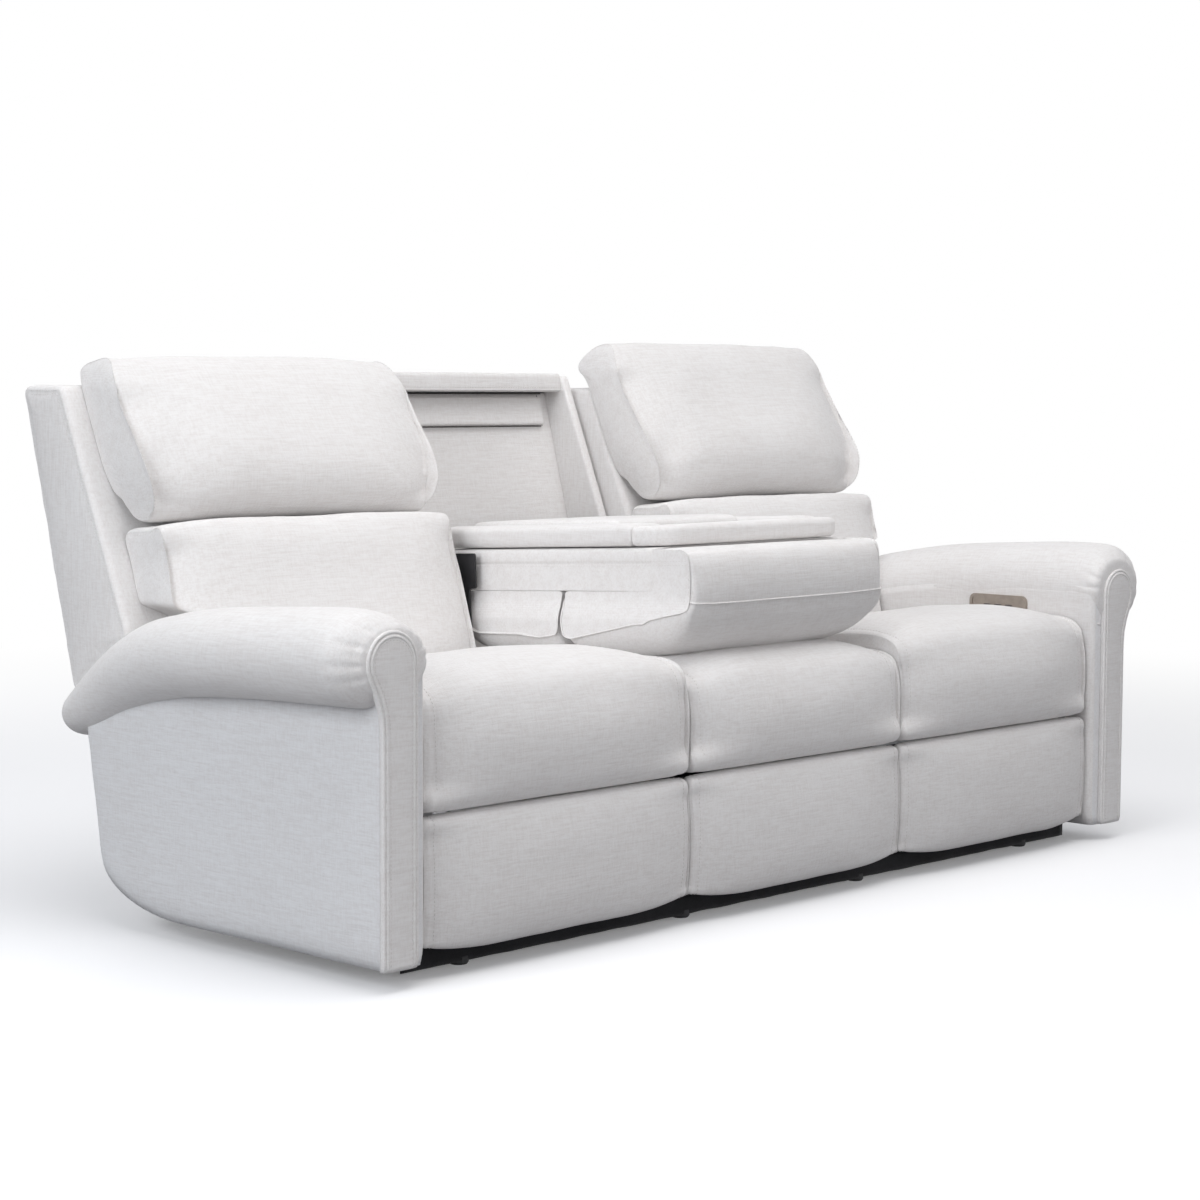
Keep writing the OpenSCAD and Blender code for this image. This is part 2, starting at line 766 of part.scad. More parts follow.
// Reclining backs
wing_outline = rounded([
    [shell_y(wing_front_z), wing_front_z],
    [rear_y(wing_rear_z), wing_rear_z],
    [rear_y(shell_top_z), shell_top_z],
    [shell_y(shell_top_z), shell_top_z]
], shell_r);
shell_mid_outline = rounded([
    [shell_y(shell_wide_z), shell_wide_z],
    [rear_y(shell_wide_z), shell_wide_z],
    [rear_y(shell_top_z), shell_top_z],
    [shell_y(shell_top_z), shell_top_z]
], shell_r);
shell_low_outline = rounded([
    [shell_low_y, shell_low_z],
    [rear_y(shell_low_z), shell_low_z],
    [rear_y(lumbar_low_z), lumbar_low_z],
    [shell_y(lumbar_low_z), lumbar_low_z]
], shell_r);
module back_shell(s)
    color("gainsboro")
        placed()
            on_side(s) {
                side_plate(wing_outline, seat_x1, wing_x);
                side_plate(shell_mid_outline, shell_x0, seat_x1);
                side_plate(shell_low_outline,
                    seat_mid_x - shell_low_hw, seat_mid_x + shell_low_hw);
            }

module back_brackets(s)
    color("silver")
        placed()
            both_sets(s)
                difference() {
                    side_plate(rounded([
                        [recline_y - plate_edge, recline_z - plate_edge],
                        [recline_y + plate_edge, recline_z - plate_edge],
                        [shell_low_y + 4 * plate_edge, shell_wide_z],
                        [shell_low_y + plate_edge, shell_wide_z]
                    ], plate_r), link_x(1), link_end(1));
                    link_bore([recline_y, recline_z], recline_pin_r, link_x(1));
                }

pillow_edge_r = 30;
pillow_crown = 12;
pillow_bulge = 5;
pillow_hub_shares = [0.45, 0.45];
arm_top_clear_z = 596;
module lumbar_pillow(s)
    color("white")
        placed()
            on_side(s)
                difference() {
                    pad(
                        softened([
                            for (p = lumbar_outline_shares)
                                back_point(p, lumbar_t, lumbar_low_z, lumbar_top_z)
                        ], 2),
                        back_point(pillow_hub_shares, lumbar_t, lumbar_low_z, lumbar_top_z),
                        seat_x0, pillow_x1, pillow_edge_r, pillow_crown, pillow_bulge
                    );
                    block([seat_x1, cushion_front_y, lumbar_low_z - over],
                        [body_w / 2, body_d, arm_top_clear_z]);
                }

module head_pillow(s)
    color("white")
        placed()
            on_side(s)
                pad(head_outline(), back_point(pillow_hub_shares, head_t, head_low_z, head_top_z),
                    seat_x0, pillow_x1, pillow_edge_r, pillow_crown, pillow_bulge);

// Recess behind the console
post_knee_z = 560;
post_foot_back = 318;
post_foot_y = body_d - post_foot_back;
pocket_t = 10;
pocket_back = 218;
pocket_y = body_d - pocket_back;
pocket_low_z = 370;
pocket_high_z = 620;
post_x1 = recess_hw + post_t;
post_outline = [
    [post_foot_y, rail_high_z],
    [rear_in(rail_high_z), rail_high_z],
    [rear_in(recess_top_z), recess_top_z],
    [post_y(recess_top_z), recess_top_z],
    [post_y(post_knee_z), post_knee_z]
];
module recess_posts()
    color("gainsboro")
        placed()
            for (s = [-1, 1])
                on_side(s)
                    difference() {
                        side_plate(post_outline, recess_hw, post_x1);
                        block([post_x1 - pocket_t, post_foot_y - over, pocket_low_z],
                            [post_x1 + over, pocket_y, pocket_high_z]);
                    }

back_panel_low_z = 300;
function panel_y(z) = rear_in(z) - back_panel_t;
top_rail_low_z = recess_top_z - top_rail_h;
module recess_back_panel()
    color("gainsboro")
        placed()
            side_plate([
                [panel_y(back_panel_low_z), back_panel_low_z],
                [rear_in(back_panel_low_z), back_panel_low_z],
                [rear_in(top_rail_low_z), top_rail_low_z],
                [panel_y(top_rail_low_z), top_rail_low_z]
            ], -recess_hw, recess_hw);

module recess_top_rail()
    color("gainsboro")
        placed()
            side_plate([
                [post_y(recess_top_z), top_rail_low_z],
                [rear_in(top_rail_low_z), top_rail_low_z],
                [rear_in(recess_top_z), recess_top_z],
                [post_y(recess_top_z), recess_top_z]
            ], -recess_hw, recess_hw);

strip_inset = 62;
strip_low_z = recess_top_z - 1.75 * strip_h;
strip_top_z = strip_low_z + strip_h;
module recess_strip()
    color("white")
        placed()
            side_plate(rounded([
                [panel_y(strip_low_z) - strip_t, strip_low_z],
                [panel_y(strip_low_z) - touch_gap, strip_low_z],
                [panel_y(strip_top_z) - touch_gap, strip_top_z],
                [panel_y(strip_top_z) - strip_t, strip_top_z]
            ], strip_t / 3), -recess_hw + strip_inset, recess_hw - strip_inset);

module mid_rear_cover()
    color("gainsboro")
        placed()
            side_plate([
                [rear_in(rail_high_z) + touch_gap, rail_high_z],
                [rear_y(rail_high_z), rail_high_z],
                [rear_y(recess_top_z), recess_top_z],
                [rear_in(recess_top_z) + touch_gap, recess_top_z]
            ], -post_x1, post_x1);

// Console hinge: fixed brackets with studs, and cranked arms on the console
hinge_x0 = post_x1 - pocket_t + link_gap;
hinge_x1 = hinge_x0 + link_t;
bracket_x1 = post_x1 + link_t;
bracket_tail_y = pocket_y + 2 * plate_edge;
module console_brackets()
    color("dimgray")
        placed()
            for (s = [-1, 1])
                on_side(s) {
                    side_plate(rounded([
                        [console_y - plate_edge, console_z - plate_edge],
                        [bracket_tail_y, console_z - 4 * plate_edge],
                        [bracket_tail_y, console_z - plate_edge],
                        [console_y, console_z + plate_edge],
                        [console_y - plate_edge, console_z + plate_edge]
                    ], plate_r), post_x1, bracket_x1);
                    bar_x(console_y, console_z, link_pin_r, hinge_x0, bracket_x1);
                }

// The console is drawn level about its axis and then tipped up at the front
module in_console()
    translate([0, console_y, console_z])
        rotate([-console_slope, 0, 0])
            children();

hinge_front = 38;
hinge_rear = 46;
hinge_high = console_box_top - 2 * link_t;
hinge_low = console_seam + link_t;
module console_hinges()
    color("dimgray")
        placed()
            in_console()
                for (s = [-1, 1])
                    on_side(s)
                        difference() {
                            union() {
                                side_plate(rounded([
                                    [-plate_edge, -plate_edge],
                                    [plate_edge, -plate_edge],
                                    [plate_edge, hinge_low],
                                    [hinge_rear, hinge_low],
                                    [hinge_rear, hinge_high],
                                    [-hinge_front, hinge_high],
                                    [-hinge_front, hinge_low],
                                    [-plate_edge, hinge_low]
                                ], plate_r / 2), hinge_x0, hinge_x1);
                                block([console_hw, -hinge_front / 2, hinge_low + plate_edge],
                                    [hinge_x0, hinge_front / 2, hinge_high - 1.5 * plate_edge]);
                            }
                            link_bore([0, 0], link_pin_r, hinge_x0);
                        }

box_rear = console_tail - rail_t / 2;
box_front = rail_t / 2 - console_rail_reach;
cup_x = (console_hw - side_rail_w) / 2;
tray_front = -console_rail_reach + front_rail_w;
tray_rear = tray_front + tray_l;
cup_outer_r = cup_r + cup_wall;
module at_cups()
    in_console()
        for (x = [-cup_x, cup_x])
            translate([x, (tray_front + tray_rear) / 2, console_box_top])
                children();

module console_box()
    color("gainsboro")
        placed()
            difference() {
                in_console()
                    side_plate([
                        [box_front, console_seam + touch_gap],
                        [box_rear, console_seam + touch_gap],
                        [box_rear, console_box_top],
                        [box_front, console_box_top]
                    ], -console_hw, console_hw);
                at_cups()
                    translate([0, 0, -cup_depth])
                        cylinder(h = cup_depth + over, r = cup_outer_r);
            }

module cup_holders()
    color("black")
        placed()
            at_cups()
                difference() {
                    union() {
                        translate([0, 0, -cup_depth])
                            cylinder(h = cup_depth, r = cup_outer_r);
                        cylinder(h = cup_wall, r = cup_outer_r + cup_lip);
                    }
                    translate([0, 0, cup_wall - cup_depth])
                        cylinder(h = cup_depth + over, r = cup_r);
                }

rail_r = 9;
rail_top = console_box_top + rail_t;
module console_side_rail(s)
    color("white")
        placed()
            on_side(s)
                in_console()
                    translate([0, console_tail, 0])
                        rotate([90, 0, 0])
                            linear_extrude(console_tail - tray_front)
                                polygon(rounded([
                                    [console_hw - side_rail_w, console_box_top],
                                    [console_hw, console_box_top],
                                    [console_hw, rail_top],
                                    [console_hw - side_rail_w, rail_top]
                                ], rail_r));

front_corner_r = 60;
front_corner_steps = 6;
function front_corner(s) = corner_arc(
    [s * console_hw, tray_front], [s * console_hw, -console_rail_reach],
    [0, -console_rail_reach], front_corner_r, front_corner_steps
);
module console_front_rail()
    color("white")
        placed()
            in_console()
                translate([0, 0, console_box_top])
                    linear_extrude(rail_t)
                        polygon(concat(
                            [[console_hw, tray_front], [-console_hw, tray_front]],
                            front_corner(-1),
                            [for (i = [front_corner_steps:-1:0]) front_corner(1)[i]]
                        ));

slab_hw = console_hw - side_rail_w - touch_gap;
slab_top = console_box_top + slab_t;
module console_slab()
    color("white")
        placed()
            in_console()
                side_plate(rounded([
                    [tray_rear, console_box_top],
                    [console_tail, console_box_top],
                    [console_tail, slab_top],
                    [tray_rear, slab_top]
                ], rail_r), -slab_hw, slab_hw);

// Console pillows: shares of the length from the front and of the height of the pillows
console_split = console_reach * 0.445;
console_split_gap = 5;
console_pillow_tail = 56;
console_head_shares = [
    [0.235, 0.998], [0.235, 1.3], [0.2, 1.56], [0.05, 1.54], [0, 0.72], [0.015, 0.34],
    [0.2, 0.03], [0.5, 0], [0.92, 0.02], [1, 0.25], [1, 0.998]
];
console_lumbar_shares = [
    [0, 0.998], [0, 0.2], [0.06, 0], [0.55, 0], [0.86, 0.1], [1, 0.45], [0.98, 0.998]
];
console_head_hub_shares = [0.12, 0.8];
console_lumbar_hub_shares = [0.5, 0.5];
function console_point(s, front, rear) = [
    front + (rear - front) * s[0], -console_low + (console_low + console_seam) * s[1]
];
module console_pillow(shares, hub, front, rear)
    color("white")
        placed()
            in_console()
                pad(
                    cut_run(cut_run([for (s = shares) console_point(s, front, rear)])),
                    console_point(hub, front, rear), -console_pillow_hw, console_pillow_hw,
                    pillow_edge_r, pillow_crown, pillow_bulge
                );

module console_head_pillow()
    console_pillow(console_head_shares, console_head_hub_shares, -console_reach, -console_split);

module console_lumbar_pillow()
    console_pillow(console_lumbar_shares, console_lumbar_hub_shares,
        -console_split + console_split_gap, console_pillow_tail);

// Switch panels on the inner faces of the arms, each with three push buttons
button_h = 16;
button_proud = 2.4;
bezel_r = 14;
bezel_recess = 1.6;
bezel_x0 = arm_inner_x - bezel_t;
function button_place(i) = bezel_y + i * button_pitch;
module panel_shape(y, hl, hh, r, x0, x1)
    side_plate(rounded([
        [y - hl, bezel_z - hh], [y + hl, bezel_z - hh],
        [y + hl, bezel_z + hh], [y - hl, bezel_z + hh]
    ], r, 5), x0, x1);

module switch_bezel(s)
    color("rosybrown")
        placed()
            on_side(s)
                difference() {
                    panel_shape(bezel_y, bezel_l / 2, bezel_h / 2, bezel_r,
                        bezel_x0, arm_inner_x);
                    panel_shape(bezel_y, (bezel_l - bezel_r) / 2, (bezel_h - bezel_r) / 2,
                        bezel_r / 2, bezel_x0 - over, bezel_x0 + bezel_recess);
                    for (i = [-1, 0, 1])
                        panel_shape(button_place(i), button_hl + touch_gap,
                            button_h / 2 + touch_gap, 2 * bezel_recess,
                            bezel_x0 - over, arm_inner_x + over);
                }

module button(s, i)
    color("dimgray")
        placed()
            on_side(s)
                panel_shape(button_place(i), button_hl, button_h / 2, 2 * bezel_recess,
                    bezel_x0 + bezel_recess - button_proud,
                    arm_inner_x - button_travel - touch_gap);

base_frame();
base_cross_beam();
feet();
arm_body(-1);  // arm_body_left
arm_body(1);  // arm_body_right
arm_roll(-1);  // arm_roll_left
arm_roll(1);  // arm_roll_right
scroll_panel(-1);  // scroll_panel_left
scroll_panel(1);  // scroll_panel_right
seat_decks();
deck_supports();
seat_cushion(-seat_x1, -seat_x0, cushion_top_z);  // seat_cushion_left
seat_cushion(-mid_seat_hw, mid_seat_hw, mid_cushion_top_z);  // seat_cushion_mid
seat_cushion(seat_x0, seat_x1, cushion_top_z);  // seat_cushion_right
mid_front_board();
front_padding(-mid_seat_hw, mid_seat_hw);  // mid_front_padding
mech_plates();
main_links(-1);  // main_links_left
main_links(1);  // main_links_right
guide_links(-1);  // guide_links_left
guide_links(1);  // guide_links_right
carry_links(-1);  // carry_links_left
carry_links(1);  // carry_links_right
front_board(-seat_x1, -seat_x0);  // footrest_board_left
front_board(seat_x0, seat_x1);  // footrest_board_right
front_padding(-seat_x1, -seat_x0);  // footrest_padding_left
front_padding(seat_x0, seat_x1);  // footrest_padding_right
footrest_brackets(-1);  // footrest_brackets_left
footrest_brackets(1);  // footrest_brackets_right
back_shell(-1);  // back_shell_left
back_shell(1);  // back_shell_right
back_brackets(-1);  // back_brackets_left
back_brackets(1);  // back_brackets_right
lumbar_pillow(-1);  // lumbar_pillow_left
lumbar_pillow(1);  // lumbar_pillow_right
head_pillow(-1);  // head_pillow_left
head_pillow(1);  // head_pillow_right
recess_posts();
recess_back_panel();
recess_top_rail();
recess_strip();
mid_rear_cover();
console_brackets();
console_hinges();
console_box();
cup_holders();
console_side_rail(-1);  // console_side_rail_left
console_side_rail(1);  // console_side_rail_right
console_front_rail();
console_slab();
console_head_pillow();
console_lumbar_pillow();
switch_bezel(-1);  // switch_bezel_left
switch_bezel(1);  // switch_bezel_right
button(-1, -1);  // button_left_1
button(-1, 0);  // button_left_2
button(-1, 1);  // button_left_3
button(1, -1);  // button_right_1
button(1, 0);  // button_right_2
button(1, 1);  // button_right_3
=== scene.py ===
import bpy
import bmesh
import math
import numpy as np
from mathutils import Matrix, Vector, noise


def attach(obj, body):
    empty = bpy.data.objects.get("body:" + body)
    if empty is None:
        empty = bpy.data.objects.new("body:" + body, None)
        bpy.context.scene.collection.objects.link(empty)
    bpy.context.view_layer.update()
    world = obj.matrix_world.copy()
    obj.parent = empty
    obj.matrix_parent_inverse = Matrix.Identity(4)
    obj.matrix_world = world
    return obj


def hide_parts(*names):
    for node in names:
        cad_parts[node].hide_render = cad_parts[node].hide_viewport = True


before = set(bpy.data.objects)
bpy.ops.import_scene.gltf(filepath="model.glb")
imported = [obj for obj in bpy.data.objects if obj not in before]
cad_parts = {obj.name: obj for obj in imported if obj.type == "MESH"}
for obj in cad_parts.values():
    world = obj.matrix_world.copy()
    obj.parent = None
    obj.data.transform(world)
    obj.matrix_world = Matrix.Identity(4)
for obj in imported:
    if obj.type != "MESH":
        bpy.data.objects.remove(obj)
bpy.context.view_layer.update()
scene = bpy.context.scene

# ---------------------------------------------------------------- camera
cam_data = bpy.data.cameras.new("camera")
cam_data.lens = 78.24
cam_data.sensor_width = 36.0
cam_data.clip_end = 100.0
cam = bpy.data.objects.new("camera", cam_data)
scene.collection.objects.link(cam)
# right, up and forward directions and place, in metres
CAM_R = (0.69540642, -0.7186035, 0.00434913)
CAM_U = (0.05486774, 0.05912904, 0.99674133)
CAM_F = (0.71651898, 0.6929017, -0.08054686)
CAM_L = (-3.7292, -3.5669, 0.9571)
cam.matrix_world = Matrix([(r, u, -f, p) for r, u, f, p in zip(CAM_R, CAM_U, CAM_F, CAM_L)] + [(0.0, 0.0, 0.0, 1.0)])
scene.camera = cam
scene.view_settings.view_transform = "Standard"

# ---------------------------------------------------------------- sizes, mm
# X across, Y back from the arm fronts, Z up, as in the part's source
Y_MID = 509.0
ARM_IN = 950.0
ARM_OUT = 1050.0
LIFT = 35.0
SEAT_X0, SEAT_X1 = 308.0, 938.0
WING_X, PILLOW_X1 = 1044.0, 1016.0
RECESS_HW, POST_X1 = 276.0, 298.0
CON_Y, CON_Z, CON_A = 633.0, 497.0, math.radians(3.0)
T_REAR = math.tan(math.radians(15.2))
T_FRONT = math.tan(math.radians(24.0))
T_POST = math.tan(math.radians(22.0))
BODY_D, SHELL_TOP, SHELL_D = 1018.0, 960.0, 125.0
POST_TOP, POST_Y = 985.0, 936.0


def rear_y(z):
    return BODY_D - (POST_TOP - z) * T_REAR


def shell_y(z):
    return rear_y(SHELL_TOP) - SHELL_D - (SHELL_TOP - z) * T_FRONT


def post_y(z):
    return POST_Y - (POST_TOP - z) * T_POST


def metres(p):
    p = np.asarray(p, float).reshape(-1, 3)
    return np.column_stack([p[:, 0], p[:, 1] - Y_MID, p[:, 2]]) / 1000.0


def con_world(p):
    """Console coordinates about its hinge axis to the part's own."""
    p = np.asarray(p, float).reshape(-1, 3)
    c, s = math.cos(CON_A), math.sin(CON_A)
    return np.column_stack([p[:, 0], CON_Y + p[:, 1] * c + p[:, 2] * s,
                            CON_Z - p[:, 1] * s + p[:, 2] * c])


# ---------------------------------------------------------------- materials
class Nodes:
    """The node tree of a material or of the world."""

    def __init__(self, owner, out="ShaderNodeOutputMaterial"):
        self.mat = bpy.data.materials.new(owner) if isinstance(owner, str) else owner
        self.mat.use_nodes = True
        self.t = self.mat.node_tree
        self.t.nodes.clear()
        self.out = self.t.nodes.new(out)

    def new(self, kind, ins=None, **k):
        """A node with its settings k and its inputs, each a number, a vector, a colour or an output."""
        n = self.t.nodes.new(kind)
        for a, b in k.items():
            setattr(n, a, b)
        for a, b in (ins or {}).items():
            self.put(b, n.inputs[a])
        return n

    def put(self, value, socket):
        if isinstance(value, tuple):
            socket.default_value = value + (1.0,) * (len(socket.default_value) - len(value))
        elif isinstance(value, (int, float)):
            socket.default_value = value
        else:
            self.t.links.new(value, socket)

    def where(self):
        return self.new("ShaderNodeTexCoord").outputs["Object"]

    def noise(self, scale, detail=2.0, rough=0.5):
        """Noise stretched by a scale for each axis."""
        at = self.new("ShaderNodeMapping", {"Vector": self.where(), "Scale": scale}).outputs["Vector"]
        return self.new("ShaderNodeTexNoise", {"Vector": at, "Scale": 1.0, "Detail": detail,
                                               "Roughness": rough}).outputs["Fac"]

    def wave(self, axis, scale):
        ins = {"Vector": self.where(), "Scale": scale, "Distortion": 1.2, "Detail Scale": 0.6}
        return self.new("ShaderNodeTexWave", ins, wave_type="BANDS", bands_direction=axis).outputs["Fac"]

    def math(self, op, a, b):
        return self.new("ShaderNodeMath", {0: a, 1: b}, operation=op).outputs[0]

    def blend(self, *terms):
        """Sum of (output, weight) pairs."""
        out = None
        for v, k in terms:
            v = self.math("MULTIPLY", v, k)
            out = v if out is None else self.math("ADD", out, v)
        return out

    def seen(self):
        """1 for camera, glossy and transmission rays."""
        lp = self.new("ShaderNodeLightPath").outputs
        return self.math("MAXIMUM", lp["Is Camera Ray"],
                         self.math("MAXIMUM", lp["Is Glossy Ray"], lp["Is Transmission Ray"]))

    def ramp(self, fac, stops):
        n = self.new("ShaderNodeValToRGB", {"Fac": fac})
        e = n.color_ramp.elements
        while len(e) < len(stops):
            e.new(0.5)
        for el, (p, c) in zip(e, stops):
            el.position = p
            el.color = (*c, 1.0)
        return n.outputs["Color"]

    def bump(self, height, strength, dist, normal=None):
        ins = {"Strength": strength, "Distance": dist, "Height": height}
        if normal is not None:
            ins["Normal"] = normal
        return self.new("ShaderNodeBump", ins).outputs["Normal"]

    def shader(self, color, normal, rough, metal=0.0, sheen=0.0, spec=0.5, rough_link=None):
        p = self.new("ShaderNodeBsdfPrincipled", {
            "Base Color": color, "Roughness": rough, "Metallic": metal, "Specular IOR Level": spec,
            "Sheen Weight": sheen, "Sheen Roughness": 0.5, "Normal": normal})
        if rough_link is not None:
            self.put(rough_link, p.inputs["Roughness"])
        self.put(p.outputs[0], self.out.inputs[0])
        return self.mat


def shade(color, k, most=9.0):
    return tuple(min(most, c * k) for c in color)


def linen(name, along, base=(0.80, 0.785, 0.778), dark=0.86):
    """Off-white slub linen. along is the axis its weft threads follow."""
    m = Nodes(name)
    k = {"X": (1, 0, 0), "Y": (0, 1, 0), "Z": (0, 0, 1)}[along]
    other = {"X": (0, 1, 1), "Y": (1, 0, 1), "Z": (1, 1, 0)}[along]
    n1 = m.noise(tuple(42.0 if a else 330.0 for a in k), 2.5, 0.68)
    n2 = m.noise(tuple(55.0 if a else 300.0 for a in other), 2.5, 0.68)
    slub = m.noise(tuple(14.0 if a else 210.0 for a in k), 1.0, 0.5)
    cloud = m.noise((5.0, 5.0, 5.0), 3.0, 0.5)
    mix = m.blend((n1, 0.36), (n2, 0.32), (slub, 0.20), (cloud, 0.12))
    warm = (base[0] * 0.945, base[1] * 0.93, base[2] * 0.922)
    col = m.ramp(mix, [(0.30, shade(base, dark)), (0.43, warm), (0.54, base), (0.70, shade(base, 1.05, 0.9))])
    weft = m.wave({"X": "Z", "Y": "Z", "Z": "X"}[along], 190.0)
    warp = m.wave(along, 210.0)
    wv = m.math("MULTIPLY", m.math("ADD", weft, warp), 0.30)
    nrm = m.bump(m.math("ADD", m.blend((n1, 0.6), (n2, 0.5)), wv), 0.42, 0.0011)
    nrm = m.bump(slub, 0.25, 0.0014, nrm)
    return m.shader(col, rough=0.93, normal=nrm, sheen=0.15, spec=0.15)


def plain_metal(name, color, rough, wear=0.25):
    m = Nodes(name)
    n = m.noise((60, 60, 60), 4.0, 0.6)
    fine = m.noise((900, 140, 140), 2.0, 0.5)
    col = m.ramp(n, [(0.3, shade(color, 1 - wear)), (0.7, shade(color, 1 + wear, 1))])
    rl = m.math("ADD", m.math("MULTIPLY", n, 0.18), rough - 0.09)
    return m.shader(col, rough=rough, metal=1.0, normal=m.bump(fine, 0.12, 0.0004), rough_link=rl)


def painted(name, color, rough):
    m = Nodes(name)
    n = m.noise((30, 30, 30), 3.0, 0.6)
    fine = m.noise((1400, 1400, 1400), 1.0, 0.5)
    col = m.ramp(n, [(0.35, shade(color, 0.8)), (0.65, shade(color, 1.25))])
    rl = m.math("ADD", m.math("MULTIPLY", n, 0.2), rough - 0.1)
    return m.shader(col, rough=rough, normal=m.bump(fine, 0.2, 0.0003), rough_link=rl, spec=0.4)


def plywood(name):
    m = Nodes(name)
    grain = m.noise((6.0, 160.0, 60.0), 4.0, 0.6)
    broad = m.noise((2.0, 14.0, 9.0), 3.0, 0.5)
    col = m.ramp(m.blend((grain, 0.6), (broad, 0.4)),
                 [(0.3, (0.34, 0.21, 0.11)), (0.5, (0.50, 0.34, 0.19)), (0.7, (0.62, 0.45, 0.27))])
    return m.shader(col, rough=0.62, normal=m.bump(grain, 0.25, 0.0006), spec=0.35)


def lining(name, color):
    """Black dust cloth: thin, matt and slightly fuzzy. Also the dark cloth that stands in as painted shade."""
    m = Nodes(name)
    n = m.noise((500, 500, 500), 2.0, 0.6)
    c2 = m.noise((25, 25, 25), 3.0, 0.5)
    col = m.ramp(m.blend((n, 0.5), (c2, 0.5)), [(0.35, shade(color, 0.7)), (0.65, shade(color, 1.4))])
    return m.shader(col, rough=0.95, normal=m.bump(n, 0.4, 0.001), sheen=0.2, spec=0.2)


def thread(name):
    m = Nodes(name)
    n = m.noise((900, 900, 900), 1.0, 0.5)
    col = m.ramp(n, [(0.3, (0.60, 0.57, 0.55)), (0.7, (0.80, 0.78, 0.76))])
    return m.shader(col, rough=0.75, normal=m.bump(n, 0.3, 0.0004), sheen=0.2, spec=0.3)


M_X = linen("linen_weft_x", "X")
M_Y = linen("linen_weft_y", "Y")
M_Z = linen("linen_weft_z", "Z")
# a cooler, slightly darker copy of the linen for the arms' outer skins: the bluish light on the sides, painted into the
# colour
M_SIDE_PAINTED_COOL = linen("linen_side", "Y", base=(0.775, 0.775, 0.785))
M_THREAD = thread("seam_thread")
M_STEEL = plain_metal("zinc_steel", (0.46, 0.46, 0.47), 0.42)
M_BLACK = painted("black_enamel", (0.018, 0.018, 0.020), 0.5)
M_BRONZE = plain_metal("bronze_plate", (0.42, 0.37, 0.325), 0.36, 0.10)
M_BUTTON = painted("button_face", (0.10, 0.085, 0.08), 0.42)
M_NYLON = painted("nylon_glide", (0.030, 0.030, 0.032), 0.6)
M_CUP = plain_metal("cup_steel", (0.60, 0.60, 0.61), 0.30, 0.12)
M_PLY = plywood("plywood")
# near-black cloth: the real dust cloth, and painted shade where it hangs in gaps
M_LINING_AND_SHADE = lining("dust_cloth", (0.020, 0.020, 0.022))
# dark grey cloth for the recess folds: painted shade lines
M_SHADE = lining("seam_binding", (0.115, 0.108, 0.106))


# ---------------------------------------------------------------- meshes
def build(name, verts, faces, mat):
    me = bpy.data.meshes.new(name)
    me.from_pydata([tuple(map(float, p)) for p in metres(verts)], [], faces)
    me.update()
    me.polygons.foreach_set("use_smooth", [True] * len(me.polygons))
    me.materials.append(mat)
    o = bpy.data.objects.new(name, me)
    scene.collection.objects.link(o)
    return o


def merge(name, parts, mat):
    """Several (verts, faces) lists in one object."""
    vs, fs, n = [], [], 0
    for v, f in parts:
        v = np.asarray(v, float).reshape(-1, 3)
        vs.append(v)
        fs += [tuple(i + n for i in q) for q in f]
        n += len(v)
    return build(name, np.vstack(vs), fs, mat)


def piece(name, parts, mat, body, *nodes, fine=False):
    """A closed piece on its body, in the place of the CAD nodes named."""
    o = merge(name, parts, mat)
    fix_normals(o)
    if fine:
        subdivide(o)
    if nodes:
        finish_piece(o, body, *nodes)
    else:
        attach(o, body)
    return o


def threads(name, parts, body):
    o = merge(name, parts, M_THREAD)
    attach(o, body)
    return o


def both_sides(mesh):
    """A (verts, faces) pair and its mirror image across X."""
    v, f = mesh
    return [(v * np.array([s, 1.0, 1.0]), f) for s in (-1, 1)]


def fix_normals(o):
    bm = bmesh.new()
    bm.from_mesh(o.data)
    bmesh.ops.recalc_face_normals(bm, faces=bm.faces)
    bm.to_mesh(o.data)
    bm.free()


def subdivide(o):
    m = o.modifiers.new("subdivision", "SUBSURF")
    m.levels = m.render_levels = 1


def chaikin(p, k=2, keep=0.25):
    p = np.asarray(p, float)
    for _ in range(k):
        q = np.roll(p, -1, axis=0)
        p = np.stack([p * (1 - keep) + q * keep, p * keep + q * (1 - keep)], 1).reshape(-1, p.shape[1])
    return p


def resample(p, n, closed=True):
    """n evenly spaced points on a line."""
    p = np.asarray(p, float)
    if closed:
        p = np.vstack([p, p[:1]])
    s = np.concatenate([[0], np.cumsum(np.linalg.norm(np.diff(p, axis=0), axis=1))])
    t = np.linspace(0, s[-1], n, endpoint=not closed)
    return np.column_stack([np.interp(t, s, p[:, i]) for i in range(p.shape[1])])


def unit(v):
    """Rows scaled to length 1."""
    return v / np.maximum(1e-9, np.linalg.norm(v, axis=-1, keepdims=True))


def nearest_on(line, p):
    """Nearest point of an open line to each of p, and how far along the line it lies."""
    line, p = np.asarray(line, float), np.asarray(p, float)
    best = np.full(len(p), 1e18)
    out, run, s0 = np.zeros_like(p), np.zeros(len(p)), 0.0
    for a, b in zip(line[:-1], line[1:]):
        d = b - a
        t = np.clip(((p - a) @ d) / max(1e-9, d @ d), 0, 1)
        q = a + t[:, None] * d
        e = ((p - q) ** 2).sum(1)
        m = e < best
        best[m] = e[m]
        out[m] = q[m]
        run[m] = s0 + t[m] * np.linalg.norm(d)
        s0 += np.linalg.norm(d)
    return out, run


def grid_faces(rows, cols, wrap=True, n0=0):
    f = []
    for r in range(rows - 1):
        for c in range(cols if wrap else cols - 1):
            d = (c + 1) % cols
            f.append((n0 + r * cols + c, n0 + r * cols + d, n0 + (r + 1) * cols + d, n0 + (r + 1) * cols + c))
    return f


def end_quads(off, n):
    """Faces that close a ring of n points from off on by pairing its two sides."""
    return [(off + i, off + i + 1, off + n - 2 - i, off + n - 1 - i) for i in range(n // 2 - 1)]


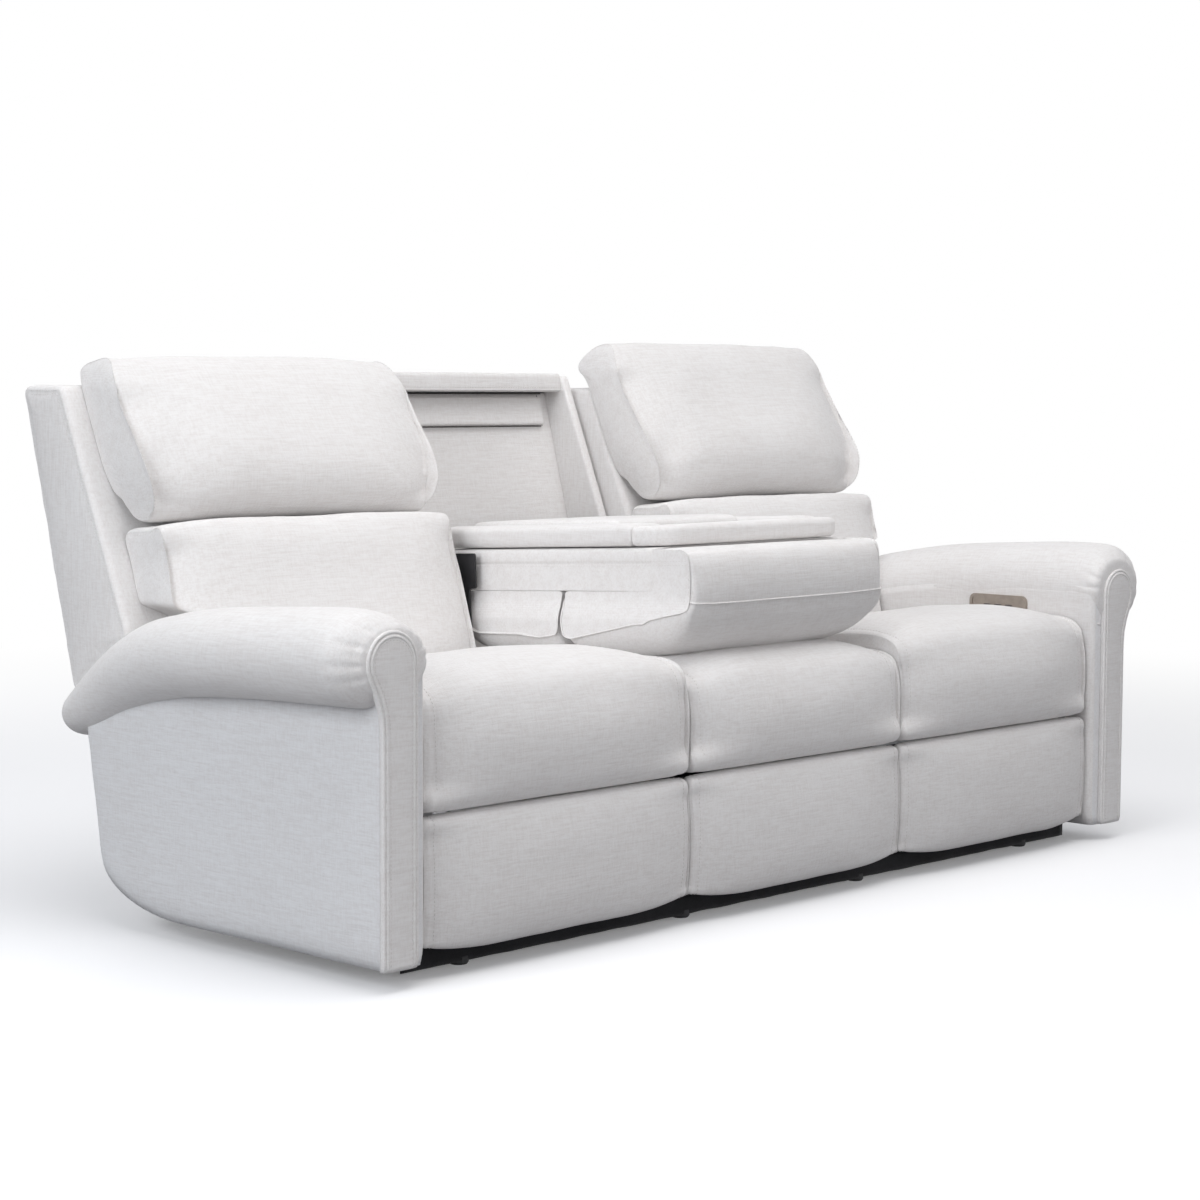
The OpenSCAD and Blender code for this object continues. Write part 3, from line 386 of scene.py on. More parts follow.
def rounded(poly, r, k=6):
    """A closed polygon with its corners turned on a radius."""
    p = np.asarray(poly, float)
    out = []
    for i in range(len(p)):
        b = p[i]
        u, v = p[i - 1] - b, p[(i + 1) % len(p)] - b
        lu, lv = np.linalg.norm(u), np.linalg.norm(v)
        u, v = u / lu, v / lv
        half = math.acos(max(-1.0, min(1.0, float(u @ v)))) / 2
        d = min(r / math.tan(half), 0.45 * lu, 0.45 * lv)
        for t in np.linspace(0, 1, k):
            out.append((1 - t) ** 2 * (b + u * d) + 2 * t * (1 - t) * b + t * t * (b + v * d))
    return np.array(out)


def ring_blur(a, pts, width):
    """Soft average of values along a closed line."""
    seg = np.linalg.norm(np.roll(pts, -1, 0) - pts, axis=1).mean()
    k = max(1, int(3 * width / seg))
    w = np.exp(-0.5 * (np.arange(-k, k + 1) * seg / width) ** 2)
    w /= w.sum()
    return sum(w[i + k] * np.roll(a, i, axis=0) for i in range(-k, k + 1))


def inward(pts):
    """Inward unit normals of a closed line in a plane."""
    t = np.roll(pts, -1, 0) - np.roll(pts, 1, 0)
    nm = unit(np.column_stack([t[:, 1], -t[:, 0]]))
    q = np.roll(pts, -1, 0)
    return nm if np.sum(pts[:, 0] * q[:, 1] - q[:, 0] * pts[:, 1]) < 0 else -nm


def ray_share(p, q, poly):
    """Share of the way from each p to each q at which it first meets a closed polygon."""
    poly = np.asarray(poly, float)
    e = np.roll(poly, -1, 0) - poly
    out = np.full(len(p), 0.006)
    for i in range(len(p)):
        d = q[i] - p[i]
        w = poly - p[i]
        den = d[0] * e[:, 1] - d[1] * e[:, 0]
        den = np.where(np.abs(den) < 1e-9, 1e-9, den)
        t = (w[:, 0] * e[:, 1] - w[:, 1] * e[:, 0]) / den
        u = (w[:, 0] * d[1] - w[:, 1] * d[0]) / den
        ok = (t >= 0) & (t <= 1) & (u >= -1e-6) & (u <= 1 + 1e-6)
        if ok.any():
            out[i] = t[ok].min()
    return out


def zipper(a, b, run, n):
    """Triangles between two chains of columns that run side by side, paired by how far along they lie."""
    f, i, j = [], 0, 0
    while i < len(a) - 1 or j < len(b) - 1:
        if i == len(a) - 1 or (j < len(b) - 1 and run[b[j + 1] % n] <= run[a[i + 1] % n]):
            f.append((a[i], b[j], b[j + 1]))
            j += 1
        else:
            f.append((a[i], b[j], a[i + 1]))
            i += 1
    return f


def ring_middle(mask):
    """The middle column of a run of marked columns on a closed ring."""
    a = np.nonzero(mask)[0] * 2 * math.pi / len(mask)
    return int(round(math.atan2(np.sin(a).sum(), np.cos(a).sum()) / (2 * math.pi) * len(mask))) % len(mask)


EDGE_STEPS = (18, 36, 54, 72, 90)


def points_of(me):
    c = np.empty(len(me.vertices) * 3)
    me.vertices.foreach_get("co", c)
    return c.reshape(-1, 3)


class Pad:
    """A soft form: an outline in (y, z) run across X and closed at both ends over its middle line.

    The grid has a row for each station and a column for each outline point. seam is the inset of the end
    seam, or face the end panel's own outline; flat(p) is 1 where the form rests on something; slim(q) draws
    the end in at that place, weigh(p) says how much of the crown a point takes, and tight keeps the seam's
    corner sharp.
    """

    def __init__(self, outline, middle, x0, x1, n=96, edge=16.0, seam=14.0, face=None, flat=None, slim=None,
                 slim_run=90.0, crown=12.0, crown_run=130.0, step=14.0, caps=7, bulge=6.0, blur=12.0, weigh=None,
                 tight=False):
        pts = resample(outline, n)
        middle = np.asarray(middle, float)
        mid, self.run = nearest_on(middle, pts)
        d = mid - pts
        L = np.linalg.norm(d, axis=1)
        free = np.ones(n) if flat is None else 1.0 - np.array([flat(p) for p in pts], float)
        free = ring_blur(free, pts, 7.0)
        if weigh is not None:
            crown = crown * (free * ring_blur(np.array([weigh(p) for p in pts], float), pts, 14.0))
        else:
            crown = crown * free
        if face is None:
            slope = np.maximum(0.45, np.sum(d / L[:, None] * inward(pts), axis=1))
            ins = np.array([seam(p) for p in pts], float) if callable(seam) else np.full(n, float(seam))
            share = ring_blur(ins, pts, blur) / slope / L
        else:
            share = ring_blur(ray_share(pts, mid, face), pts, blur)
        share = np.clip(share, 0.0, 0.85)
        ins = share * L
        ex = edge + 0.6 * np.maximum(0.0, ins - edge)
        self.n, self.pts, self.free = n, pts, free
        self.steps = ((5,) if tight else ()) + EDGE_STEPS

        def ring(x, sh, inset=0.0):
            q = pts + d * (sh + inset / L)[:, None]
            return np.column_stack([x * np.ones(n), q])

        def drawn(row, xa, sign):
            if slim is None:
                return row
            w = np.exp(-((row[:, 0] - xa) / slim_run) ** 2)
            row[:, 0] += sign * slim(row[:, 1:], sign) * w
            return row

        def stations(sign, xa):
            out = []

            def add(kind, x, sh, inset=0.0):
                out.append((drawn(ring(x, sh, inset), xa, sign), kind))

            for c in range(caps, 0, -1):
                t = 0.95 * c / caps
                add("cap", xa + sign * bulge * (1 - t) ** 2.0, share + (1 - share) * t)
            if tight:
                add("cap", xa + sign * bulge, share + (1 - share) * 0.03)
            add("seam", xa + sign * bulge, share)
            for a in self.steps:
                a = math.radians(a)
                add("edge", xa + sign * (bulge + ex * (1 - math.cos(a))), share * (1 - math.sin(a)), crown)
            return out

        near, far = stations(1, x0), stations(-1, x1)
        xa, xb = x0 + bulge + ex, x1 - bulge - ex
        m = max(6, int(round(float(np.mean(xb - xa)) / step)))
        body = []
        for i in range(1, m):
            x = xa + (xb - xa) * i / m
            e = min(i, m - i) * float(np.mean(xb - xa)) / m / crown_run
            e = 1.0 if e > 1 else 1 - (1 - e) ** 2.2
            row = ring(x, np.zeros(n), crown * (1 - e))
            row = drawn(row, x0, 1)
            body.append((drawn(row, x1, -1), "body"))
        self.rows, self.kinds = map(list, zip(*(near + body + far[::-1])))
        self.grid = np.array(self.rows)
        self.c0 = ring_middle(self.run <= self.run.min() + 1e-6)
        self.c1 = ring_middle(self.run >= self.run.max() - 1e-6)

    def faces(self):
        f = grid_faces(len(self.rows), self.n)
        n = self.n
        there = [(self.c0 + i) % n for i in range((self.c1 - self.c0) % n + 1)]
        back = [(self.c0 - i) % n for i in range(1, (self.c0 - self.c1) % n)]
        for off in (0, (len(self.rows) - 1) * n):
            k = zipper(there, back, self.run, n)
            f += [tuple(off + i for i in q) for q in k]
        return f

    def object(self, name, mat, world):
        v = self.grid.reshape(-1, 3)
        if world is not None:
            v = world(v)
        self.obj = build(name, v, self.faces(), mat)
        fix_normals(self.obj)
        return self.obj

    def coords(self):
        """The object's points in the part's mm, as rows."""
        c = points_of(self.obj.data) * 1000.0
        c[:, 1] += Y_MID
        return c.reshape(len(self.rows), self.n, 3)

    def put(self, g):
        v = metres(g.reshape(-1, 3))
        self.obj.data.vertices.foreach_set("co", v.reshape(-1))
        self.obj.data.update()

    def ends(self):
        """Row numbers of the two end seams, and of the last edge rows beside them."""
        sm = [i for i, k in enumerate(self.kinds) if k == "seam"]
        return sm, [sm[0] + len(self.steps), sm[1] - len(self.steps)]


def smooth_field(p, freq, seed):
    """Slow noise at each point of p in mm, -1 to 1."""
    out = np.empty(len(p))
    for i, q in enumerate(p):
        out[i] = noise.noise(Vector((q[0] * freq + seed * 7.31, q[1] * freq - seed * 3.17, q[2] * freq + seed)))
    return out


def grid_field(g, freq, seed):
    return smooth_field(g.reshape(-1, 3), freq, seed).reshape(g.shape[:2])


# rounds in which the simulation's creases are averaged out
SMOOTH_ROUNDS = 30


def swell(pad, pins, cap, gain, folds=0.15, pressure=4.0, frames=20):
    """Cloth simulation: the cover is blown up between the pinned seams, and the result is written to the mesh.
    folds is the share of its creases that stays; the rest is stretched smooth, as over firm foam."""
    o = pad.obj
    vg = o.vertex_groups.new(name="pin")
    vg.add([int(i) for i in pins], 1.0, "REPLACE")
    md = o.modifiers.new("cloth", "CLOTH")
    s = md.settings
    s.quality = 5
    s.mass = 0.3
    s.tension_stiffness = s.compression_stiffness = 12.0
    s.shear_stiffness = 4.0
    s.bending_stiffness = 0.35
    s.use_pressure = True
    s.uniform_pressure_force = pressure
    s.effector_weights.gravity = 0.0
    s.vertex_group_mass = "pin"
    md.collision_settings.use_collision = md.collision_settings.use_self_collision = False
    md.point_cache.frame_start = 1
    md.point_cache.frame_end = frames
    for f in range(1, frames + 1):
        scene.frame_set(f)
    dg = bpy.context.evaluated_depsgraph_get()
    ev = o.evaluated_get(dg)
    a, b = points_of(ev.to_mesh()), points_of(o.data)
    ev.to_mesh_clear()
    o.modifiers.remove(md)
    o.vertex_groups.remove(vg)
    scene.frame_set(1)
    d = (a - b) * gain
    L = np.linalg.norm(d, axis=1)
    if not np.isfinite(L).all():
        return
    k = np.minimum(1.0, (cap / 1000.0) / np.maximum(L, 1e-9))
    d *= k[:, None]
    free = np.ones(len(d))
    free[pins] = 0.0
    free = free.reshape(len(pad.rows), pad.n, 1)
    q = d.reshape(len(pad.rows), pad.n, 3) * free
    s = q.copy()
    for _ in range(SMOOTH_ROUNDS):
        up, down = np.vstack([s[1:], s[-1:]]), np.vstack([s[:1], s[:-1]])
        s = (0.5 * s + 0.125 * (up + down + np.roll(s, 1, 1) + np.roll(s, -1, 1))) * free
    d = (s * (1 - folds) + q * folds).reshape(-1, 3)
    o.data.vertices.foreach_set("co", (b + d).reshape(-1))
    o.data.update()
    print("swell", o.name, round(float(L.max()) * 1000, 1), "mm")


def tube(path, r, sides=8, taper=0.0):
    """(verts, faces) of a round cord along a path in mm."""
    p = np.asarray(path, float)
    n = len(p)
    t = unit(np.gradient(p, axis=0))
    up = np.array([0.0, 0.0, 1.0]) if abs(t[0][2]) < 0.9 else np.array([1.0, 0.0, 0.0])
    u = np.cross(up, t[0])
    u /= np.linalg.norm(u)
    us = [u]
    for i in range(1, n):
        u = us[-1] - t[i] * (us[-1] @ t[i])
        us.append(u / max(1e-9, np.linalg.norm(u)))
    us = np.array(us)
    vs = np.cross(t, us)
    a = np.arange(sides) * 2 * math.pi / sides
    rings = []
    for i in range(n):
        rr = r * min(1.0, 0.25 + 0.75 * min(i, n - 1 - i) / max(1.0, taper)) if taper else r
        rings.append(p[i] + rr * (np.cos(a)[:, None] * us[i] + np.sin(a)[:, None] * vs[i]))
    f = grid_faces(n, sides)
    f += [tuple(range(sides - 1, -1, -1)), tuple(range((n - 1) * sides, n * sides))]
    return np.array(rings).reshape(-1, 3), f


def stitches(path, nrm, pitch=7.0, length=4.4, r=0.55, lift=0.25, sides=5):
    """(verts, faces) of a row of short thread stitches on a surface line."""
    p, nn = np.asarray(path, float), np.asarray(nrm, float)
    s = np.concatenate([[0], np.cumsum(np.linalg.norm(np.diff(p, axis=0), axis=1))])
    total = s[-1]
    k = max(1, int(total / pitch))
    vs, fs = [], []
    for i in range(k):
        q = []
        for dt, h, w in ((-0.5, -0.7, 0.35), (-0.32, 0.35, 0.9), (0.32, 0.35, 0.9), (0.5, -0.7, 0.35)):
            t = (i + 0.5) * total / k + dt * length
            c, m = (np.array([np.interp(t, s, v[:, a]) for a in range(3)]) for v in (p, nn))
            m /= max(1e-9, np.linalg.norm(m))
            q.append((c + m * (lift + h * r), m, w))
        d = q[-1][0] - q[0][0]
        d /= max(1e-9, np.linalg.norm(d))
        for c, m, w in q:
            side = np.cross(d, m)
            side /= max(1e-9, np.linalg.norm(side))
            for a in range(sides):
                an = a * 2 * math.pi / sides
                vs.append(c + r * w * (math.cos(an) * m + math.sin(an) * side))
        base = i * 4 * sides
        fs += grid_faces(4, sides, n0=base)
        fs.append(tuple(base + a for a in range(sides - 1, -1, -1)))
        fs.append(tuple(base + 3 * sides + a for a in range(sides)))
    return np.array(vs), fs


def flat_stitches(line, normal, **k):
    """Stitches on a line of one normal."""
    return stitches(line, np.tile([float(v) for v in normal], (len(line), 1)), **k)


def vertex_normals(g):
    """Normals of a wrapped grid of rows."""
    du = np.gradient(g, axis=0)
    dv = np.roll(g, -1, 1) - np.roll(g, 1, 1)
    return unit(np.cross(du, dv))


def outward(g, n):
    """Turns grid normals so that they point away from the middle."""
    c = g.reshape(-1, 3).mean(0)
    s = np.sum((g - c) * n)
    return n if s > 0 else -n


def yz_to_part(v):
    """(y, z, x) rows to (x, y, z)."""
    return np.column_stack([v[:, 2], v[:, 0], v[:, 1]])


def slab_mesh(outline, w0, w1, r=6.0, bulge=0.0, steps=3, caps=5, sub=10.0, place=yz_to_part):
    """(verts, faces) of an upholstered board: a 2-D outline run from w0 to w1 with rounded edges."""
    p = np.asarray(outline, float)
    per = np.linalg.norm(np.roll(p, -1, 0) - p, axis=1).sum()
    n = max(12, int(per / sub))
    n += n % 2
    q = resample(p, n)
    c = q.mean(0)
    t = np.roll(q, -1, 0) - np.roll(q, 1, 0)
    nm = unit(np.column_stack([t[:, 1], -t[:, 0]]))
    if np.sum((q - c) * nm) < 0:
        nm = -nm

    def ring(inset, w, f=0.0):
        a = q - nm * inset
        a = a + (c - a) * f
        return np.column_stack([a, np.full(n, w)])

    # each ring of an end: inset, distance along from that end, how far drawn in to the middle
    end = [(r, -bulge * (1 - (1 - f) ** 2), f) for f in (k / (caps + 0.02) for k in range(caps, 0, -1))]
    end += [(r * (1 - math.sin(a)), r * (1 - math.cos(a)), 0.0)
            for a in (math.radians(90.0 * k / steps) for k in range(steps + 1))]
    span = w1 - w0 - 2 * r
    m = max(1, int(span / (sub * 2)))
    rings = [ring(i, w0 + d, f) for i, d, f in end]
    rings += [ring(0, w0 + (r + span * k / m)) for k in range(1, m)]
    rings += [ring(i, w1 - d, f) for i, d, f in end[::-1]]
    v = np.vstack(rings)
    rows = len(rings)
    f = grid_faces(rows, n)
    f.append(tuple(range(n - 1, -1, -1)))
    f.append(tuple(range((rows - 1) * n, rows * n)))
    return place(v), f


def finish_piece(o, body, *nodes):
    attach(o, body)
    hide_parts(*nodes)


BODY = "sofa_frame"

# ---------------------------------------------------------------- seat cushions
# a seat's side view: how far back, and how far up from the break of its front edge (down where it is negative)
SEAT_SHARES = [(1, 0), (1, .42), (.66, .78), (.27, 1.02), (.05, .98), (0.0, .42), (0, -.35), (.012, -.92),
               (.05, -1.075), (.16, -1.075), (.2, -.7), (.212, 0)]
SEAT_Y0, SEAT_D, SEAT_BREAK, SEAT_LOW = 6, 550, 356.6, 275


def seat_outline(top):
    o = [(SEAT_Y0 + SEAT_D * a, SEAT_BREAK + (b * (top - SEAT_BREAK) if b > 0 else b * (SEAT_BREAK - SEAT_LOW)))
         for a, b in SEAT_SHARES]
    c = chaikin(o, 3)
    c[:, 1] = np.where((c[:, 0] > SEAT_Y0 + SEAT_D * .2) & (c[:, 1] < SEAT_BREAK), SEAT_BREAK, c[:, 1])
    return c


def flat_under(p):
    return 1.0 if p[0] > 118 and p[1] < 360 else 0.0


def pad_normals(pad, g):
    """Outward normals; the end panels face along X."""
    nm = outward(g, vertex_normals(g))
    for r, k in enumerate(pad.kinds):
        if k == "cap":
            nm[r] = (1.0 if r > len(g) // 2 else -1.0, 0.0, 0.0)
    return nm


def post_pad(pad, seed, wrinkle, pucker, clamp, mask):
    """Slow unevenness and seam puckers on a swollen pad."""
    g = pad.coords()
    nm = pad_normals(pad, g)
    f = grid_field(g, 1 / 170.0, seed) * wrinkle
    f += grid_field(g, 1 / 60.0, seed + 3) * wrinkle * 0.35
    for s in pad.ends()[0]:
        ys = np.linalg.norm(np.roll(g[s], -1, 0) - g[s], axis=1).cumsum()
        wave = np.array([noise.noise(Vector((y / 17.0, seed * 5.0 + s, 0.3))) for y in ys])
        for r in range(len(g)):
            d = np.linalg.norm(g[r] - g[s], axis=1)
            f[r] += wave * pucker * np.exp(-(d / 26.0) ** 2) * (0.0 if r == s else 1.0)
    free = np.tile(pad.free, (len(g), 1))
    caps = pad.ends()[0][0]
    for c in range(caps):
        t = (caps - c) / caps
        for r in (c, len(g) - 1 - c):
            free[r] += (1 - free[r]) * t
            f[r] *= 1 - 0.5 * t
    if mask is not None:
        free = free * mask(g)
    pad.put(clamp(g + nm * (f * free)[:, :, None]))


def within(*limits):
    """A function that keeps points between a low and a high limit on each axis."""
    low, high = np.array(limits, float).T
    return lambda g: np.clip(g, low, high)


def groove(pad, rows, depth):
    """Draws a seam in along whole rows."""
    g = pad.coords()
    nm = pad_normals(pad, g)
    for r in rows:
        g[r] -= nm[r] * (depth * pad.free)[:, None]
    pad.put(g)


def pins_of(pad, extra):
    """Points that the simulation holds: the end panels, the seams and what rests on something."""
    ids = []
    for r, k in enumerate(pad.kinds):
        for c in range(pad.n):
            if k in ("cap", "seam") or pad.free[c] < 0.6 or (extra is not None and extra(pad.grid[r, c])):
                ids.append(r * pad.n + c)
    return ids


def run_of(pad, keep):
    """The longest run of columns for which keep(column) holds."""
    ok = [bool(keep(c)) for c in range(pad.n)]
    if all(ok):
        return list(range(pad.n))
    start = next(i for i in range(pad.n) if not ok[i])
    best, cur = [], []
    for i in range(start, start + pad.n + 1):
        c = i % pad.n
        if ok[c]:
            cur.append(c)
        else:
            best = cur if len(cur) > len(best) else best
            cur = []
    return best


def upholster(pad, name, mat, body, node, seed, wrinkle, pucker, clamp, rows, depth, mask=None, pins=None,
              world=None, **blow):
    """Builds a pad, blows it up if blow says how, adds its unevenness and draws in its seam rows."""
    o = pad.object(name, mat, world)
    if blow:
        swell(pad, pins_of(pad, pins), **blow)
    post_pad(pad, seed, wrinkle, pucker, clamp, mask)
    groove(pad, rows, depth)
    subdivide(o)
    finish_piece(o, body, node)


def seam_thread(name, pad, body, rows, offset, part):
    """A row of stitches beside each seam row, on the finished mesh."""
    g = pad.coords()
    nm = outward(g, vertex_normals(g))
    parts = []
    for r, dr in rows:
        q = g[r] + unit(g[r + dr] - g[r]) * offset
        idx = run_of(pad, lambda c: part(g[r, c]))
        if len(idx) > 4:
            parts.append(stitches(q[idx], nm[r][idx]))
    threads(name, parts, body)


def seat(name, x0, x1, top, body, node, seed):
    out = seat_outline(top)
    middle = [(70, 318), (80, 395), (200, 430 if top > 480 else 415), (505, 395)]
    pad = Pad(out, middle, x0, x1, n=120, edge=20, seam=17.0, crown=24.0, crown_run=185, step=13.0, bulge=2.0,
              flat=flat_under,
              weigh=lambda p: 0.10 if p[1] < 306 else (0.75 if p[1] > top - 60 else 1.0))
    e = pad.ends()[1]
    upholster(pad, name, M_X, body, node, seed, 2.6, 1.5, within((x0, x1), (0.5, np.inf), (272.2, np.inf)), e, 2.2,
              mask=lambda g: 0.25 + 0.75 * np.clip((g[..., 2] - 276) / 40.0, 0, 1), cap=18.0, gain=0.6)
    seam_thread(name + "_thread", pad, body, [(e[0], 1), (e[1], -1)], 5.0,
                part=lambda p: p[2] > 300 and p[1] < 560)


SIDE_X, SPLIT_X, MID_X = 945.0, 306.5, 304.5
seat("seat_pad_left", -SIDE_X, -SPLIT_X, 500, BODY, "seat_cushion_left", 1)
seat("seat_pad_right", SPLIT_X, SIDE_X, 500, BODY, "seat_cushion_right", 2)
seat("seat_pad_mid", -MID_X, MID_X, 472, BODY, "seat_cushion_mid", 3)

# ---------------------------------------------------------------- front panels and footrests
FOOT_SHARES = [(1, 0), (1, 1), (.45, 1.015), (.1, .97), (-.06, .72), (-.08, .42), (.02, .1), (.22, -.015), (.6, -.01)]


def front_pad(name, x0, x1, body, node, seed):
    out = chaikin([(14 + 48 * a, 42 + 227 * b) for a, b in FOOT_SHARES], 2)
    middle = [(40, 75), (40, 236)]
    pad = Pad(out, middle, x0, x1, n=72, edge=14, seam=13.0, crown=13.0, crown_run=150, step=13.0, caps=4, bulge=1.5,
              flat=lambda p: 1.0 if p[0] > 58 else 0.0, weigh=lambda p: 0.12 if p[1] > 250 else 1.0)
    e = pad.ends()[1]
    upholster(pad, name, M_X, body, node, seed, 2.0, 1.2, within((x0, x1), (3.0, 62.0), (38.0, 270.2)), e, 1.8,
              mask=lambda g: 0.25 + 0.75 * np.clip((268 - g[..., 2]) / 30.0, 0, 1), cap=13.0, gain=0.4, folds=0.05)
    seam_thread(name + "_thread", pad, body, [(e[0], 1), (e[1], -1)], 5.0, part=lambda p: p[1] < 54)


front_pad("seat_front_pad_left", -SIDE_X, -SPLIT_X, "footrest_left", "footrest_padding_left", 4)
front_pad("seat_front_pad_right", SPLIT_X, SIDE_X, "footrest_right", "footrest_padding_right", 5)
front_pad("seat_front_pad_mid", -MID_X, MID_X, BODY, "mid_front_padding", 6)

# ---------------------------------------------------------------- arms
ROLL_R, ROLL_LEN, ROLL_END = 92.0, 868.0, 848.0
ROLL_TOP = {-1: [(14, 602), (28, 607), (93, 611), (225, 604), (368, 594), (490, 581), (612, 558), (691, 525),
                 (751, 491), (813, 450), (856, 414), (868, 402)],
            1: [(14, 622), (57, 632), (185, 630), (317, 624), (426, 615), (509, 604), (637, 582), (700, 557),
                (780, 500), (830, 450), (868, 410)]}
ROLL_LOW = [(14, 452), (61, 452), (159, 450), (287, 446), (420, 438), (531, 427), (617, 411), (705, 386), (751, 362),
            (820, 335), (868, 328)]


def eased(line, y):
    """A height read off a line of points, averaged over a short run."""
    xs, zs = [p[0] for p in line], [p[1] for p in line]
    return float(np.mean(np.interp(np.linspace(y - 34, y + 34, 9), xs, zs)))


def roll_at(y, s):
    """Middle height, half width and half height of a roll."""
    top, low = eased(ROLL_TOP[s], y), eased(ROLL_LOW, y)
    run = max(0.0, (y / ROLL_LEN - 0.52) / 0.48)
    sw = 1 - 0.20 * (1 - min(1.0, max(0.0, (y - 14) / 40.0))) ** 2
    out = 9.0 * math.exp(-((y - 60) / 150.0) ** 2) if s > 0 else 2.0 * math.exp(-((y - 60) / 150.0) ** 2)
    return (top + low) / 2, sw * (ROLL_R - 32 * run + out), sw * (top - low) / 2


# the rounded rear end of a roll: distance past ROLL_END and share of its size
ROLL_TIP = {9: 0.84, 15: 0.52, 17: 0.2}
# pleats behind the scroll: degrees round the roll, depth, length
PLEATS = ((28, 3.4, 46), (58, 3.0, 38), (92, 2.2, 30), (130, 2.6, 36), (158, 3.2, 52), (176, 2.6, 60),
          (-2, 3.6, 50), (-24, 2.6, 40))


def arm_roll(s, sd):
    ys = [6, 8, 11, 14, 18, 24, 32, 42, 54, 68] + list(np.linspace(84, ROLL_END, 58))
    ys += [ROLL_END + d for d in ROLL_TIP]
    n = 96
    rings = []
    for y in ys:
        zc, rx, rz = roll_at(min(y, ROLL_END), s)
        k = 1.0
        if y < 14:
            k = 1.0 - 0.16 * ((14 - y) / 8.0) ** 1.5
        if y > ROLL_END:
            k = ROLL_TIP[int(y - ROLL_END)]
        a = np.radians(np.arange(n) * 360.0 / n)
        r = np.ones(n)
        for deg, depth, run in PLEATS:
            d = (np.degrees(a) - deg + 180) % 360 - 180
            wid = 2.6 + 2.2 * max(0.0, y) / run
            fade = max(0.0, 1 - max(0.0, y - 6) / run)
            r -= (depth / rx) * np.exp(-(d / wid) ** 2) * fade ** 1.3
            r += (0.5 * depth / rx) * np.exp(-((abs(d) - 2.4 * wid) / (1.5 * wid)) ** 2) * fade
        px = ARM_IN + rx + rx * k * r * np.cos(a)
        pz = zc + rz * k * r * np.sin(a)
        p = np.column_stack([px, np.full(n, float(y)), pz])
        rings.append(p)
    g = np.array(rings)
    nm = outward(g, vertex_normals(g))
    f = grid_field(g * np.array([1, 0.6, 1]), 1 / 130.0, 11 + s) * 1.8
    f += grid_field(g * np.array([1, 0.35, 1]), 1 / 45.0, 17 + s) * 0.5
    g = g + nm * f[:, :, None]
    g[..., 0] = np.maximum(g[..., 0], ARM_IN - 0.5)
    g[..., 0] *= s
    faces = grid_faces(len(ys), n)
    faces.append(tuple(range(n)))
    faces.append(tuple(range((len(ys) - 1) * n, len(ys) * n)))
    piece("arm_roll_cover_" + sd, [(g, faces)], M_Y, BODY, "arm_roll_" + sd, fine=True)


# faces nearer the middle than this, in metres, are the arm's inner skin
INNER_SKIN = 0.965
# where the arm's skins begin behind its scroll panel
ARM_FRONT = 14.0


def arm_body(s, sd):
    """Side, front and inner skins of an arm as one closed upholstered form."""
    low = [(ARM_FRONT, LIFT), (540.0, LIFT)]
    for i in range(1, 13):
        a = i / 12.0 * math.pi / 2
        low.append((540 + 232 * math.sin(a), 127 - 92 * math.cos(a)))
    low += [(778, 170), (784, 215), (790, 262), (794, 310)]
    top = [(y, roll_at(y, s)[0] + 4) for y in np.linspace(ARM_FRONT, 802, 40)]
    nu, m = 76, 30
    lo, hi = resample(low, nu, False), resample(top, nu, False)
    u = np.concatenate([[0.0, 0.0015, 0.005, 0.011], np.linspace(0.02, 1.0, nu - 4)])
    pick = lambda c: np.column_stack([np.interp(u, np.linspace(0, 1, nu), c[:, i]) for i in (0, 1)])
    lo, hi = pick(lo), pick(hi)
    rows = []
    for a, b in zip(lo, hi):
        ring = []
        for i in range(m + 1):
            t = i / m
            q = a + (b - a) * t
            puff = 4.5 * math.sin(math.pi * min(1.0, 0.08 + 0.92 * t)) * min(1.0, max(0.0, q[0] - ARM_FRONT) / 70.0)
            edge = 7.0 * max(0.0, 1 - t * m / 2.2) ** 2
            front = 6.0 * max(0.0, 1 - (q[0] - ARM_FRONT) / 9.0) ** 2
            ring.append((ARM_OUT - 3.0 - edge - front + puff, q[0], q[1]))
        for i in range(m, -1, -1):
            t = i / m
            q = a + (b - a) * t
            edge = 6.0 * max(0.0, 1 - t * m / 2.2) ** 2
            front = 9.0 * max(0.0, 1 - (q[0] - ARM_FRONT) / 12.0) ** 2
            ring.append((ARM_IN + edge + front, q[0], q[1]))
        rows.append(ring)
    g = np.array(rows, float)
    n = g.shape[1]
    f = grid_field(g, 1 / 210.0, 31 + s) * 1.6
    f += grid_field(g, 1 / 70.0, 33 + s) * 0.5
    g[:, :m + 1, 0] += f[:, :m + 1]
    g[..., 0] = np.minimum(g[..., 0], ARM_OUT + 1.5)
    g[..., 0] *= s
    faces = grid_faces(len(g), n)
    for off in (0, (len(g) - 1) * n):
        faces += end_quads(off, n)
    # the outer skin takes the cool-tinted linen copy, painted bluish light; the inner skin takes the plain linen
    o = piece("arm_cover_" + sd, [(g, faces)], M_SIDE_PAINTED_COOL, BODY, "arm_body_" + sd)
    o.data.materials.append(M_Y)
    for p in o.data.polygons:
        if abs(p.center.x) < INNER_SKIN:
            p.material_index = 1
    # two small darts on the inner front corner, below the scroll
    parts = []
    for z, tip in ((528.0, -3.0), (462.0, 4.0)):
        path = [(s * (977 - 26 * t), 13.4 + 11.0 * t ** 2.2, z + tip * math.sin(math.pi * t))
                for t in np.linspace(0, 1, 14)]
        parts.append(tube(path, 2.2, 8, taper=4))
    piece("arm_cover_" + sd + "_darts", parts, M_X, BODY)


SCROLL_X, SCROLL_Z, SCROLL_R = 1030.0, 525.8, 52.0


